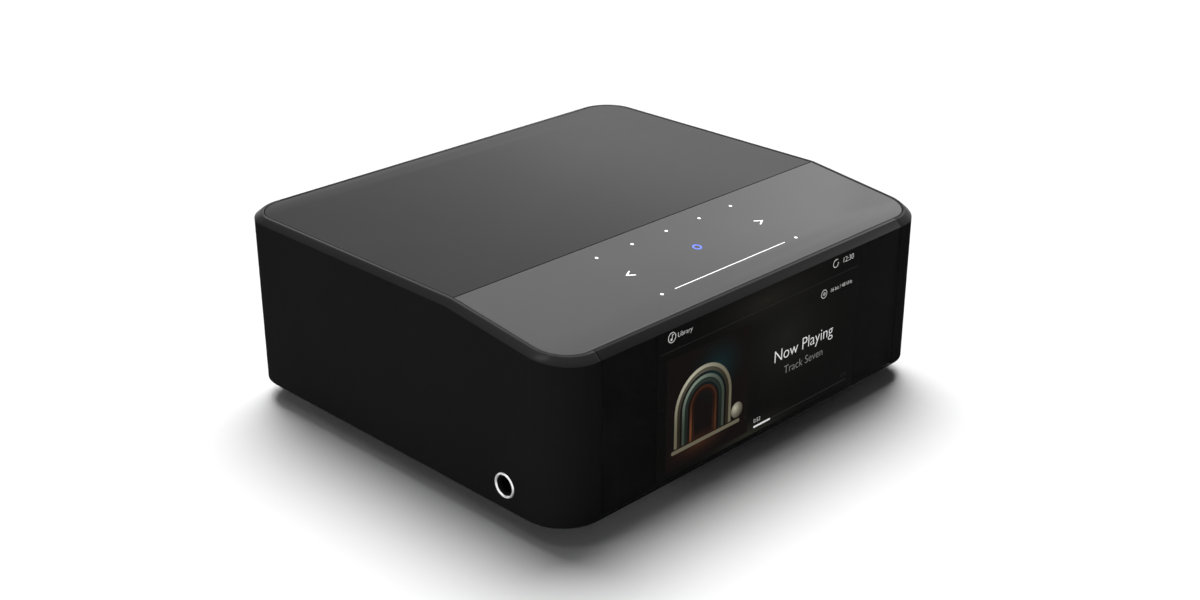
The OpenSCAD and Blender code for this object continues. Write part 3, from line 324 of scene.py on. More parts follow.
liner_black = make_finish("liner_black", MOULDED, 0.003, 0.005, 2200, (0.6, 0.7), specular=0.04)

# Gloss of the shell's finely cut bevel and rim: its weight and roughness, and the upward tilt that carries it
RIM_GLOSS = 0.57
RIM_GLOSS_ROUGHNESS = 0.2
RIM_GLOSS_TILT = (0.3, 1.0)


def polish_rim(finish):
    """Clear gloss on the faces that look up, so that the bevel and rim stand out from the matt walls."""
    tree = finish.node_tree
    shader = tree.nodes["Principled BSDF"]
    place = add_node(tree, "TexCoord")
    parts = add_node(tree, "SeparateXYZ")
    tree.links.new(place.outputs["Normal"], parts.inputs["Vector"])
    gloss = map_range(tree, parts.outputs["Z"], RIM_GLOSS_TILT, 0.0, RIM_GLOSS)
    tree.links.new(gloss, shader.inputs["Coat Weight"])
    shader.inputs["Coat Roughness"].default_value = RIM_GLOSS_ROUGHNESS


polish_rim(finishes["satin_shell"])

# Front pane: tint, grain per metre, roughness range and refraction
PANE_TINT = (0.62, 0.66)
PANE_GRAIN = 90
PANE_ROUGHNESS = (0.0, 0.004)
PANE_IOR = 1.0005
# Painted reflection of the front pane: even faint glow, stronger glow at its right end, and the reach of that,
# in metres
PANE_PAINTED_SHEEN = (0.0013, 0.0031)
PANE_PAINTED_SHEEN_REACH = (0.22, 0.1, 0.2)
# Screen: depth that a glow reaches, dark lines between the pixels under a glow, and the unlit black
GLOW_DEPTH = 0.1
GLOW_NET = 0.2
SCREEN_BLACK = 0.002


def light_up(tree, shader, colour):
    """Emission from a colour socket at the strength at which it renders as written."""
    tree.links.new(colour, shader.inputs["Emission Color"])
    shader.inputs["Emission Strength"].default_value = 1.0


def make_pane_glass():
    """Dark tinted glass with an anti-glare coat that mirrors nothing; a painted reflection glows faintly on it
    instead.
    """
    made, tree, shader = new_material("front_glass")
    place_skin(tree, shader, POLISHED, *PANE_TINT, PANE_GRAIN, PANE_ROUGHNESS)
    shader.inputs["IOR"].default_value = PANE_IOR
    shader.inputs["Transmission Weight"].default_value = 1.0
    # Painted reflection: a glow over the pane, stronger towards its right end
    painted_sheen_centre = (pane_high.x, pane_low.y, (pane_low.z + pane_high.z) / 2)
    mask = place_group(tree, GLOW, {"Centre": painted_sheen_centre, "Reach": PANE_PAINTED_SHEEN_REACH})
    even_painted_sheen, strong_painted_sheen = (flat_colour(tree, level) for level in PANE_PAINTED_SHEEN)
    light_up(tree, shader, mix_colours(tree, mask.outputs["Mask"], even_painted_sheen, strong_painted_sheen))
    return made


def make_lit(name, colour, pitch=PIXEL_PITCH, net=PIXEL_NET):
    """Lit area of one colour with its pixel net."""
    made, tree, shader = new_material(name)
    pixels = place_group(tree, PIXELS, {"Colour": rgba(colour), "Pitch": pitch, "Net": net})
    light_up(tree, shader, pixels.outputs["Colour"])
    tree.links.new(pixels.outputs["Colour"], shader.inputs["Base Color"])
    shader.inputs["Specular IOR Level"].default_value = 0.0
    return made


def make_glowing(name, ground, spots):
    """Lit area of the screen with soft glows over its ground. A spot is a place, a reach and a colour."""
    made, tree, shader = new_material(name)
    colour = flat_colour(tree, ground)
    for place, reach, tint in spots:
        mask = place_group(tree, GLOW, {
            "Centre": on_screen(*place), "Reach": (reach[0] * MM, GLOW_DEPTH, reach[1] * MM)})
        colour = mix_colours(tree, mask.outputs["Mask"], colour, flat_colour(tree, tint))
    pixels = place_group(tree, PIXELS, {"Net": GLOW_NET})
    tree.links.new(colour, pixels.inputs["Colour"])
    light_up(tree, shader, pixels.outputs["Colour"])
    shader.inputs["Base Color"].default_value = rgba(SCREEN_BLACK)
    shader.inputs["Specular IOR Level"].default_value = 0.0
    return made


# Places on the lit screen are in millimetres from its lower left corner, those on the slope from the crease
screen_place = Matrix.Translation(screen_low) @ Matrix.Rotation(math.pi / 2, 4, "X")
slope_place = Matrix.Translation((0, CREASE_Y, CREASE_Z)) @ Matrix.Rotation(GLASS_TILT, 4, "X")


def on_screen(u, v):
    """Point of the screen, from millimetres on it to metres in the shared frame."""
    return screen_place @ Vector((u * MM, v * MM, 0))


# Lit areas with soft glows: ground colour, and spots as place and reach in millimetres, and colour
GLOWS = {
    "display_cell": ((0.0028, 0.0028, 0.0026), [
        ((76, 37), (48, 36), (0.0150, 0.0149, 0.0120)),
        ((54, 1), (40, 9), (0.0270, 0.0258, 0.0180)),
        ((62, 57), (52, 14), (0.0180, 0.0172, 0.0136))]),
    "art_field": ((0.0072, 0.0046, 0.0040), [
        ((34, 38), (20, 16), (0.007, 0.030, 0.034)),
        ((24, 9), (22, 7), (0.060, 0.022, 0.010))]),
    "art_disc": ((0.09, 0.08, 0.055), [((45, 16), (5.5, 5.5), (0.74, 0.70, 0.54))]),
    "art_cream": ((0.20, 0.18, 0.12), [((20, 36), (24, 22), (0.86, 0.82, 0.64))]),
    "art_cream_shade": ((0.030, 0.024, 0.014), [((24, 34), (20, 20), (0.20, 0.19, 0.14))]),
    "art_sage": ((0.06, 0.08, 0.06), [((22, 32), (18, 18), (0.40, 0.50, 0.40))]),
    "art_sage_shade": ((0.014, 0.020, 0.016), [((26, 28), (14, 14), (0.07, 0.10, 0.08))]),
    "art_rust": ((0.06, 0.020, 0.009), [((24, 16), (14, 14), (0.36, 0.13, 0.055))]),
    "art_rust_shade": ((0.018, 0.007, 0.004), [((26, 14), (12, 12), (0.08, 0.030, 0.014))]),
}
lit = {name: make_glowing(name, *values) for name, values in GLOWS.items()}

# Plain lit colours of the page, and of the legends with their finer net
PAGE_COLOURS = {
    "screen_white": (0.95, 0.95, 0.95),
    "screen_soft": (0.72, 0.72, 0.71),
    "screen_grey": (0.26, 0.26, 0.255),
    "screen_dim": (0.022, 0.022, 0.021),
}
LEGEND_COLOURS = {"legend_white": (0.92, 0.93, 0.95), "legend_blue": (0.16, 0.22, 0.95)}
LEGEND_PITCH = 9000
LEGEND_NET = 0.1
for name, colour in PAGE_COLOURS.items():
    lit[name] = make_lit(name, colour)
for name, colour in LEGEND_COLOURS.items():
    lit[name] = make_lit(name, colour, LEGEND_PITCH, LEGEND_NET)

finishes["front_glass"] = make_pane_glass()
finishes["display_cell"] = lit["display_cell"]

slots = {row["node"]: row["material_slot"] for row in frame["record"]["subparts"]}
for name, slot in slots.items():
    node = frame["nodes"][name]
    node.data.materials.clear()
    node.data.materials.append(finishes[slot])


# Mesh helpers

# Steps of a full turn, of an arc, of a flat disc, of a bar's rounded corner and of a softened edge
LATHE_STEPS = 64
ARC_STEPS = 24
DISC_STEPS = 32
BAR_STEPS = 6
EDGE_STEPS = 2
# Rounded end of a stroke, as a share of its width
STROKE_END = 0.49
# Distances under which vertices are one: in CAD meshes, and in fine new ones
CAD_WELD = 1e-6
FINE_WELD = 1e-7
# Edges: bend under which faces are one plane, and above which an edge is softened or stays sharp
FLAT_BEND = math.radians(0.4)
SOFT_BEND = math.radians(28)
SHARP_BEND = math.radians(32)


def add_to_scene(name, data):
    """Object for a mesh, a lamp or a camera, linked to the scene."""
    made = bpy.data.objects.new(name, data)
    bpy.context.scene.collection.objects.link(made)
    return made


def add_piece(name, mesh, finish, replaced=()):
    """Object for a finished mesh: it rides on the housing, takes a slot and may stand for CAD nodes."""
    mesh.materials.clear()
    mesh.materials.append(finish)
    made = add_to_scene(name, mesh)
    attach(made, HOUSING)
    if replaced:
        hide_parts(*replaced)
    return made


def to_mesh(name, bm, place=Matrix.Identity(4)):
    """Mesh of a bmesh that was shaped in a local frame, with its faces pointing out."""
    bmesh.ops.transform(bm, matrix=place, verts=bm.verts)
    bmesh.ops.recalc_face_normals(bm, faces=bm.faces)
    mesh = bpy.data.meshes.new(name)
    bm.to_mesh(mesh)
    bm.free()
    return mesh


def to_turned_mesh(name, bm, place=Matrix.Identity(4)):
    """Mesh of a turned piece, smooth apart from its sharp edges."""
    for face in bm.faces:
        face.smooth = True
    mesh = to_mesh(name, bm, place)
    mesh.set_sharp_from_angle(angle=SHARP_BEND)
    return mesh


def add_bar(bm, x, y, w, h, r, t=LAYER):
    """Flat bar with rounded ends or corners, in millimetres, lying on the local XY plane."""
    made = bmesh.ops.create_cube(bm, size=1)["verts"]
    bmesh.ops.scale(bm, vec=(w * MM, h * MM, t), verts=made)
    bmesh.ops.translate(bm, vec=(x * MM, y * MM, t / 2), verts=made)
    low_ends = [v for v in made if v.co.z < t / 2]
    upright = [e for v in low_ends for e in v.link_edges if e.other_vert(v).co.z > t / 2]
    bmesh.ops.bevel(bm, geom=upright, offset=r * MM, offset_type="OFFSET", segments=BAR_STEPS, profile=0.5,
                    affect="EDGES", material=-1)


def add_disc(bm, x, y, r, t=LAYER):
    """Flat disc in millimetres on the local XY plane."""
    bmesh.ops.create_cone(bm, cap_ends=True, segments=DISC_STEPS, radius1=r * MM, radius2=r * MM, depth=t,
                          matrix=Matrix.Translation((x * MM, y * MM, t / 2)))


def add_lathe(bm, section, start=0.0, turn=2 * math.pi):
    """Solid spun about the local Z axis from its closed section of radii and heights, in metres."""
    made = [bm.verts.new((r, 0, z)) for r, z in section]
    loop = [bm.edges.new((made[i - 1], made[i])) for i in range(len(made))]
    bmesh.ops.rotate(bm, cent=(0, 0, 0), matrix=Matrix.Rotation(start, 3, "Z"), verts=made)
    full = math.isclose(turn, 2 * math.pi)
    swept = bmesh.ops.spin(bm, geom=made + loop, cent=(0, 0, 0), axis=(0, 0, 1), angle=turn,
                           steps=LATHE_STEPS if full else ARC_STEPS, use_merge=full)
    if not full:
        for end in (made, [g for g in swept["geom_last"] if isinstance(g, bmesh.types.BMVert)]):
            bmesh.ops.contextual_create(bm, geom=end)


def add_ring(bm, x, y, inner, outer, start=0.0, turn=2 * math.pi, t=LAYER):
    """Flat ring or arc in millimetres on the local XY plane."""
    before = set(bm.verts)
    add_lathe(bm, [(inner * MM, 0), (outer * MM, 0), (outer * MM, t), (inner * MM, t)], start, turn)
    bmesh.ops.translate(bm, vec=(x * MM, y * MM, 0), verts=[v for v in bm.verts if v not in before])


def add_stroke(bm, start, end, width):
    """Straight stroke between two points in millimetres, with round ends."""
    a, b = Vector(start), Vector(end)
    along = b - a
    stroke = bmesh.new()
    add_bar(stroke, 0, 0, along.length + width, width, width * STROKE_END)
    turn = Matrix.Translation(((a.x + b.x) / 2 * MM, (a.y + b.y) / 2 * MM, 0))
    turn = turn @ Matrix.Rotation(math.atan2(along.y, along.x), 4, "Z")
    bmesh.ops.transform(stroke, matrix=turn, verts=stroke.verts)
    mesh = bpy.data.meshes.new("stroke")
    stroke.to_mesh(mesh)
    stroke.free()
    bm.from_mesh(mesh)
    bpy.data.meshes.remove(mesh)


def soften(node, name, radius):
    """Copy of a CAD node with its sharp edges rounded, standing for that node."""
    bm = bmesh.new()
    bm.from_mesh(frame["nodes"][node].data)
    bmesh.ops.remove_doubles(bm, verts=bm.verts, dist=CAD_WELD)
    bmesh.ops.dissolve_limit(bm, angle_limit=FLAT_BEND, verts=bm.verts, edges=bm.edges)
    for face in bm.faces:
        face.smooth = True
    mesh = bpy.data.meshes.new(name)
    bm.to_mesh(mesh)
    bm.free()
    made = add_piece(name, mesh, finishes[slots[node]], [node])
    edge = made.modifiers.new("edge", "BEVEL")
    edge.limit_method = "ANGLE"
    edge.angle_limit = SOFT_BEND
    edge.width = radius
    edge.segments = EDGE_STEPS
    edge.harden_normals = True
    edge.use_clamp_overlap = True


# Housing

EDGE_R = 0.12 * MM
PANEL_EDGE_R = 0.15 * MM
# Black seal under the lower edge of the front pane, and its own edge as a share of its height
SEAL_H = 0.16 * MM
SEAL_EDGE = 0.25

soften("side_shell_left", "shell_left", EDGE_R)
soften("side_shell_right", "shell_right", EDGE_R)
soften("front_fascia", "fascia", EDGE_R)
soften("rear_frame", "rear_shell", EDGE_R)
soften("top_cover", "cover", PANEL_EDGE_R)
soften("touch_glass", "touch_pane", PANEL_EDGE_R)


def add_slab(name, low, size, edge, finish, replaced=()):
    """Upright slab with its edges ground, from its lowest corner and its size."""
    bm = bmesh.new()
    bmesh.ops.create_cube(bm, size=1)
    bmesh.ops.scale(bm, vec=size, verts=bm.verts)
    bmesh.ops.translate(bm, vec=low + size / 2, verts=bm.verts)
    bmesh.ops.bevel(bm, geom=bm.edges[:], offset=edge, offset_type="OFFSET", segments=EDGE_STEPS,
                    profile=0.5, affect="EDGES", material=-1)
    add_piece(name, to_mesh(name, bm), finish, replaced)


def make_front_pane():
    """Front glass, clear of the screen behind it, on a seal that keeps the floor's light from its edge."""
    size = pane_high - pane_low
    size.y -= SCREEN_AIR
    lift = Vector((0, 0, SEAL_H))
    add_slab("front_pane", pane_low + lift, size - lift, EDGE_R, finishes["front_glass"],
             ["front_glass"])
    add_slab("pane_seal", pane_low, Vector((size.x, size.y, SEAL_H)), SEAL_H * SEAL_EDGE, liner_black)


make_front_pane()

# Headphone sockets: turned rim round a black liner, as radii and depths from the outer face, in millimetres
RIM_SECTION = [(5.25, 0.42), (5.02, 0.07), (4.9, 0), (4.5, 0), (4.38, 0.06), (4.1, 0.45), (4.1, 1.6),
               (5.25, 1.6)]
LINER_SECTION = [(4.08, 0.55), (3.4, 1.2), (3.26, 1.5), (3.26, 2.4), (4.08, 2.4)]


def make_socket_mouth(side, way):
    """Bright rim and black liner of the headphone socket in one side wall."""
    node = "headphone_ring_" + side
    low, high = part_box(node)
    middle = (low + high) / 2
    middle.x = high.x if way > 0 else low.x
    place = Matrix.Translation(middle) @ Matrix.Rotation(way * math.pi / 2, 4, "Y")
    for name, section, finish, slot, replaced in (
            ("socket_rim_", RIM_SECTION, finishes["bright_ring"], "bright_ring", [node]),
            ("socket_liner_", LINER_SECTION, liner_black, "socket_black", [])):
        bm = bmesh.new()
        add_lathe(bm, [(r * MM, -depth * MM) for r, depth in section])
        add_piece(name + side, to_turned_mesh(name + side, bm, place), finish, replaced)


make_socket_mouth("left", -1)
make_socket_mouth("right", 1)


# Screws: crowned heads with six-sided sockets. Shares of the head: the socket's corner radius and depth, the
# radius of the crown's flat top and the height of its side
SOCKET_SHARE = (0.5, 0.6)
CROWN_SHARE = (0.62, 0.42)
CROWN_STEPS = 4
SCREW_STEPS = 48
# Corner angle of the six-sided socket, and the slack in telling its vertices by their radius
SOCKET_ANGLE = math.pi / 3
SOCKET_SLACK = 1.01
# Decimals that tell the ends of a screw apart, in metres
END_DIGITS = 6


def solids_of(node):
    """Vertices of each separate solid of a CAD node."""
    bm = bmesh.new()
    bm.from_mesh(frame["nodes"][node].data)
    bmesh.ops.remove_doubles(bm, verts=bm.verts, dist=CAD_WELD)
    solids = []
    for first in bm.verts:
        if first.tag:
            continue
        first.tag = True
        solid = [first]
        for v in solid:
            for other in (e.other_vert(v) for e in v.link_edges):
                if not other.tag:
                    other.tag = True
                    solid.append(other)
        solids.append([v.co.copy() for v in solid])
    bm.free()
    return solids


def screw_profile(head_r, head_h, shank_r, reach):
    """Half section of a screw with its seat at height 0, from the socket's floor to the tip."""
    socket_r, socket_floor = head_r * SOCKET_SHARE[0], head_h * (1 - SOCKET_SHARE[1])
    flat_r, side = head_r * CROWN_SHARE[0], head_h * CROWN_SHARE[1]
    crown = []
    for step in range(CROWN_STEPS + 1):
        turn = math.pi / 2 * (1 - step / CROWN_STEPS)
        crown.append((flat_r + (head_r - flat_r) * math.cos(turn), side + (head_h - side) * math.sin(turn)))
    return [(0, socket_floor), (socket_r, socket_floor), (socket_r, head_h), *crown, (head_r, 0),
            (shank_r, 0), (shank_r, -reach), (0, -reach)]


def cut_socket(verts, socket_r):
    """Draws the round socket of a spun screw in to six flat sides."""
    for v in verts:
        if v.co.z > 0 and v.co.xy.length < socket_r * SOCKET_SLACK:
            off = math.atan2(v.co.y, v.co.x) % SOCKET_ANGLE - SOCKET_ANGLE / 2
            v.co.xy *= math.cos(SOCKET_ANGLE / 2) / math.cos(off)


def add_screw(bm, points, axis):
    """Screw in place of a plain one, given by the points of its solid, along one axis of the frame."""
    low, high = (Vector(end(p[i] for p in points) for i in range(3)) for end in (min, max))
    seat_at = (low + high) / 2
    radii = [math.hypot(*(p[i] - seat_at[i] for i in range(3) if i != axis)) for p in points]
    heights = [round(p[axis], END_DIGITS) for p in points]
    head_r, shank_r = max(radii), min(radii)
    ends = sorted(set(heights))
    if max(r for r, height in zip(radii, heights) if height == ends[-1]) < (head_r + shank_r) / 2:
        ends.reverse()
    tip, seat, top = ends[0], ends[-2], ends[-1]
    before = set(bm.verts)
    profile = screw_profile(head_r, abs(top - seat), shank_r, abs(seat - tip))
    made = [bm.verts.new((r, 0, z)) for r, z in profile]
    line = [bm.edges.new(pair) for pair in zip(made, made[1:])]
    bmesh.ops.spin(bm, geom=made + line, cent=(0, 0, 0), axis=(0, 0, 1), angle=2 * math.pi,
                   steps=SCREW_STEPS, use_merge=True)
    bmesh.ops.remove_doubles(bm, verts=[v for v in bm.verts if v not in before], dist=FINE_WELD)
    turned = [v for v in bm.verts if v not in before]
    cut_socket(turned, head_r * SOCKET_SHARE[0])
    seat_at[axis] = seat
    way = Vector((0, 0, 0))
    way[axis] = math.copysign(1, top - seat)
    place = Matrix.Translation(seat_at) @ way.to_track_quat("Z", "Y").to_matrix().to_4x4()
    bmesh.ops.transform(bm, matrix=place, verts=turned)


def make_screws(node, name, axis):
    """All the screws of a CAD node with dressed heads, standing for that node."""
    bm = bmesh.new()
    for points in solids_of(node):
        add_screw(bm, points, axis)
    add_piece(name, to_turned_mesh(name, bm), finishes["zinc_screw"], [node])


make_screws("rear_screws", "plate_screws", 1)
make_screws("base_screws", "floor_screws", 2)


# Screen: a plain playing page with its own picture, in millimetres

SCREEN_W = (screen_high.x - screen_low.x) / MM
MARGIN_LEFT = 5.0
MARGIN_RIGHT = SCREEN_W - 4.2
# Layer over another one, and the rounding of thin lines
TOP_LAYER = 2 * LAYER
LINE_END = 0.1
# Header: its row, and the line under it with its thickness and its gap to the screen's sides
HEADER_ROW = 59.3
HEADER_LINE = 53.8
HEADER_LINE_W = 0.25
HEADER_GAP = 1
# Note in a ring, from the ring's middle: inner and outer radius, head, and stem and flag with their sizes
NOTE_X = MARGIN_LEFT + 2.3
NOTE_RING = (1.85, 2.15)
NOTE_HEAD = (-0.35, -0.75)
NOTE_HEAD_R = 0.5
NOTE_LINES = [((0.08, 0.2), (0.24, 2.0)), ((0.45, 1.05), (0.9, 0.3))]
# Turning arrow: inner and outer radius, where its arc starts and how far it goes, and its tip with its size
ARROW_X = 106.2
ARROW_RING = (1.5, 1.8)
ARROW_ARC = (math.radians(70), math.radians(300))
ARROW_TIP = (0.8, 1.65)
ARROW_TIP_SIZE = (0.9, 0.3)
# Picture: its side, lower edge and corner, and in it the middle, foot, leg height and corner of the arches
ART_SIDE = 48.0
ART_LOW = 2.2
ART_CORNER = 0.4
ART_MIDDLE = MARGIN_LEFT + ART_SIDE / 2
ARCH_MIDDLE = ART_MIDDLE - 3
ARCH_FOOT = ART_LOW + 9
ARCH_RISE = 14
ARCH_CORNER = 0.2
# Ground line and low disc, from the picture's middle and the arches' foot, with their sizes
GROUND_AT = (-1, -1.4)
GROUND_SIZE = (40, 1.6)
GROUND_END = 0.7
DISC_AT = (17.2, 3.6)
DISC_R = 3.4
# Arches: piece, inner and outer radius, lit colour
ARCHES = [
    ("picture_arch_outer", 15.0, 16.5, "art_cream"),
    ("picture_shade_outer", 13.4, 15.0, "art_cream_shade"),
    ("picture_arch_middle", 10.8, 12.2, "art_sage"),
    ("picture_shade_middle", 9.0, 10.8, "art_sage_shade"),
    ("picture_arch_inner", 6.6, 7.8, "art_rust"),
    ("picture_shade_inner", 5.2, 6.6, "art_rust_shade"),
]
# Right half: badge with its three level bars, progress bar and rows of words
BADGE_X = 99.4
BADGE_ROW = 47.9
BADGE_RING = (1.65, 1.92)
LEVEL_PITCH = 0.65
LEVEL_W = 0.28
LEVEL_HEIGHTS = (0.9, 1.8, 1.3)
BAR_LEFT = 57.1
BAR_ROW = 2.75
BAR_H = 0.5
BAR_END = 0.2
FILL_W = 10.5
FILL_H = 0.8
FILL_END = 0.3
TEXT_MIDDLE = 87.9
TITLE_ROW = 27.2
SUBTITLE_ROW = 20.1
TIME_ROW = 4.6
# Lettering at its own size: change of its weight, and half its depth
LETTER_WEIGHT = -0.012
LETTER_DEPTH = 0.05
# Words: text, left end, row, width, lit colour
WORDS = {
    "source_word": ("Library", MARGIN_LEFT + 5.6, HEADER_ROW - 0.9, 8.0, "screen_soft"),
    "clock_digits": ("12:30", MARGIN_RIGHT - 6.8, HEADER_ROW - 1.1, 6.8, "screen_soft"),
    "level_word": ("16 bit / 48 kHz", MARGIN_RIGHT - 14.2, BADGE_ROW - 0.6, 14.2, "screen_soft"),
    "title_word": ("Now Playing", TEXT_MIDDLE - 19, TITLE_ROW, 38, "screen_white"),
    "second_line": ("Track Seven", TEXT_MIDDLE - 12.6, SUBTITLE_ROW, 25.2, "screen_grey"),
    "time_gone": ("0:52", BAR_LEFT, TIME_ROW, 4.2, "screen_soft"),
    "time_left": ("4:10", MARGIN_RIGHT - 4.2, TIME_ROW, 4.2, "screen_dim"),
}


def screen_piece(name, bm, colour):
    """Lit layer on the screen."""
    add_piece(name, to_mesh(name, bm, screen_place), lit[colour])


def add_words(name):
    """Lettering on the screen from its left end, scaled to a width in millimetres, as a thin solid mesh."""
    text, left, row, width, colour = WORDS[name]
    curve = bpy.data.curves.new(name, "FONT")
    curve.body = text
    curve.offset = LETTER_WEIGHT
    curve.extrude = LETTER_DEPTH
    holder = add_to_scene(name + "_holder", curve)
    bpy.context.view_layer.update()
    mesh = bpy.data.meshes.new_from_object(holder.evaluated_get(bpy.context.evaluated_depsgraph_get()))
    bpy.data.objects.remove(holder)
    bpy.data.curves.remove(curve)
    mesh.name = name
    xs = [v.co.x for v in mesh.vertices]
    size = width * MM / (max(xs) - min(xs))
    flat = Matrix.Diagonal((size, size, LAYER / (2 * LETTER_DEPTH), 1))
    flat = flat @ Matrix.Translation((-min(xs), 0, LETTER_DEPTH))
    mesh.transform(screen_place @ Matrix.Translation((left * MM, row * MM, 0)) @ flat)
    bm = bmesh.new()
    bm.from_mesh(mesh)
    bmesh.ops.remove_doubles(bm, verts=bm.verts, dist=FINE_WELD)
    bm.to_mesh(mesh)
    bm.free()
    add_piece(name, mesh, lit[colour])


def make_picture():
    """Cover picture: three nested arches on a ground line, with a low disc beside them."""
    field = bmesh.new()
    add_bar(field, ART_MIDDLE, ART_LOW + ART_SIDE / 2, ART_SIDE, ART_SIDE, ART_CORNER)
    screen_piece("picture_field", field, "art_field")
    for name, inner, outer, colour in ARCHES:
        arch = bmesh.new()
        add_ring(arch, ARCH_MIDDLE, ARCH_FOOT + ARCH_RISE, inner, outer, 0, math.pi, TOP_LAYER)
        for side in (-1, 1):
            add_bar(arch, ARCH_MIDDLE + side * (inner + outer) / 2, ARCH_FOOT + ARCH_RISE / 2, outer - inner,
                    ARCH_RISE, ARCH_CORNER, TOP_LAYER)
        screen_piece(name, arch, colour)
    ground = bmesh.new()
    add_bar(ground, ART_MIDDLE + GROUND_AT[0], ARCH_FOOT + GROUND_AT[1], *GROUND_SIZE, GROUND_END, TOP_LAYER)
    screen_piece("picture_ground", ground, "art_cream")
    disc = bmesh.new()
    add_disc(disc, ART_MIDDLE + DISC_AT[0], ARCH_FOOT + DISC_AT[1], DISC_R, TOP_LAYER)
    screen_piece("picture_disc", disc, "art_disc")


def make_header():
    """Status row: a note in a ring, a source word, a turning arrow and the clock, over a dividing line."""
    note = bmesh.new()
    add_ring(note, NOTE_X, HEADER_ROW, *NOTE_RING)
    add_disc(note, NOTE_X + NOTE_HEAD[0], HEADER_ROW + NOTE_HEAD[1], NOTE_HEAD_R)
    for at, size in NOTE_LINES:
        add_bar(note, NOTE_X + at[0], HEADER_ROW + at[1], *size, LINE_END)
    screen_piece("source_icon", note, "screen_soft")
    add_words("source_word")
    arrow = bmesh.new()
    add_ring(arrow, ARROW_X, HEADER_ROW, *ARROW_RING, *ARROW_ARC)
    add_bar(arrow, ARROW_X + ARROW_TIP[0], HEADER_ROW + ARROW_TIP[1], *ARROW_TIP_SIZE, LINE_END)
    screen_piece("refresh_icon", arrow, "screen_soft")
    add_words("clock_digits")
    line = bmesh.new()
    add_bar(line, SCREEN_W / 2, HEADER_LINE, SCREEN_W - 2 * HEADER_GAP, HEADER_LINE_W, LINE_END)
    screen_piece("header_line", line, "screen_dim")


def make_track_page():
    """Right half of the page: level badge, title, second line, progress bar and times."""
    badge = bmesh.new()
    add_ring(badge, BADGE_X, BADGE_ROW, *BADGE_RING)
    for i, height in enumerate(LEVEL_HEIGHTS):
        add_bar(badge, BADGE_X + (i - 1) * LEVEL_PITCH, BADGE_ROW, LEVEL_W, height, LINE_END)
    screen_piece("level_icon", badge, "screen_soft")
    for name in ("level_word", "title_word", "second_line"):
        add_words(name)
    track = bmesh.new()
    add_bar(track, (BAR_LEFT + MARGIN_RIGHT) / 2, BAR_ROW, MARGIN_RIGHT - BAR_LEFT, BAR_H, BAR_END)
    screen_piece("progress_track", track, "screen_dim")
    fill = bmesh.new()
    add_bar(fill, BAR_LEFT + FILL_W / 2, BAR_ROW, FILL_W, FILL_H, FILL_END, TOP_LAYER)
    screen_piece("progress_fill", fill, "screen_white")
    for name in ("time_gone", "time_left"):
        add_words(name)


make_picture()
make_header()
make_track_page()


# Legends on the touch glass, in millimetres: across from the middle, and down the slope from the crease
KEY_PITCH = 20
KEY_ROW = 8.85
DOT_R = 0.7
SKIP_X = 40.6
SKIP_ROW = 25.76
SKIP_ARM = (3.1, 1.71)
SKIP_LINE = 0.62
HOME_RING = (1.28, 2.0)
SLIDE_ROW = 44.05
SLIDE_HALF = 33
SLIDE_LINE = 0.38
SLIDE_END = 0.16
SLIDE_DOT_X = 40.3


def legend(name, bm, colour):
    """Legend that lies on the touch glass."""
    add_piece(name, to_mesh(name, bm, slope_place), lit[colour])


def make_legends():
    """Five dots, two skip marks, the home ring, and the slide bar between its two dots."""
    dots = bmesh.new()
    for i in range(-2, 3):
        add_disc(dots, i * KEY_PITCH, -KEY_ROW, DOT_R)
    legend("key_dots", dots, "legend_white")
    for name, side in (("skip_back", -1), ("skip_on", 1)):
        mark = bmesh.new()
        tip = (side * SKIP_X, -SKIP_ROW)
        for way in (-1, 1):
            end = (side * (SKIP_X - SKIP_ARM[0]), -SKIP_ROW + way * SKIP_ARM[1])
            add_stroke(mark, tip, end, SKIP_LINE)
        legend(name, mark, "legend_white")
    ring = bmesh.new()
    add_ring(ring, 0, -SKIP_ROW, *HOME_RING)
    legend("home_ring", ring, "legend_blue")
    slide = bmesh.new()
    add_bar(slide, 0, -SLIDE_ROW, 2 * SLIDE_HALF, SLIDE_LINE, SLIDE_END)
    for side in (-1, 1):
        add_disc(slide, side * SLIDE_DOT_X, -SLIDE_ROW, DOT_R)
    legend("slide_bar", slide, "legend_white")


make_legends()


# Stage: pale floor, soft studio light, white surround and the camera

FLOOR_SIDE = 12.0
# Floor: deep and pale colour, grain per metre, roughness range
FLOOR_SKIN = (0.93, 0.95, 400, (0.9, 1.0))
# Strength of the surround as a light, and the diffuse depth under which a ray has met no matt surface yet
AMBIENT = 0.052
BEFORE_MATT = 0.5
# Dim quarter of the surround, behind the part on its left: middle, cosines of its reach, share that it loses
DIM_MIDDLE = (-0.2, 0.85, 0.49)
DIM_REACH = (0.82, 0.96)
DIM_SHARE = 0.5
# Soft lights: name, direction it comes from, spread, strength, whether gloss mirrors it
LIGHTS = [
    ("key_light", (0.316, 0.377, 1), math.radians(42), 3.68, False),
    ("side_fill", (-1, 0.16, 0.02), math.radians(18), 1.8, False),
    ("corner_light", (-0.41, 0.1, 0.91), math.radians(17), 0.12, True),
]
# Camera at the photograph's place. The lens and the sensor are in millimetres
CAMERA_AT = Vector((-0.46413, -0.46462, 0.33102))
CAMERA_AIM = Vector((-0.047378, -0.053736, 0.070626))
CAMERA_LENS = 49.82
CAMERA_SENSOR = 36
CAMERA_NEAR = 0.01


def turn_to(made, direction, axis):
    """Turns an object so that one of its axes points along a direction."""
    made.rotation_mode = "QUATERNION"
    made.rotation_quaternion = Vector(direction).to_track_quat(axis, "Y")


def make_floor():
    """Pale matt floor that carries the part's shadow."""
    bm = bmesh.new()
    bmesh.ops.create_grid(bm, x_segments=1, y_segments=1, size=FLOOR_SIDE / 2)
    mesh = bpy.data.meshes.new("floor")
    bm.to_mesh(mesh)
    bm.free()
    made = add_to_scene("floor", mesh)
    paint, tree, shader = new_material("floor_paint")
    place_skin(tree, shader, MOULDED, *FLOOR_SKIN)
    shader.inputs["Specular IOR Level"].default_value = 0.0
    mesh.materials.append(paint)


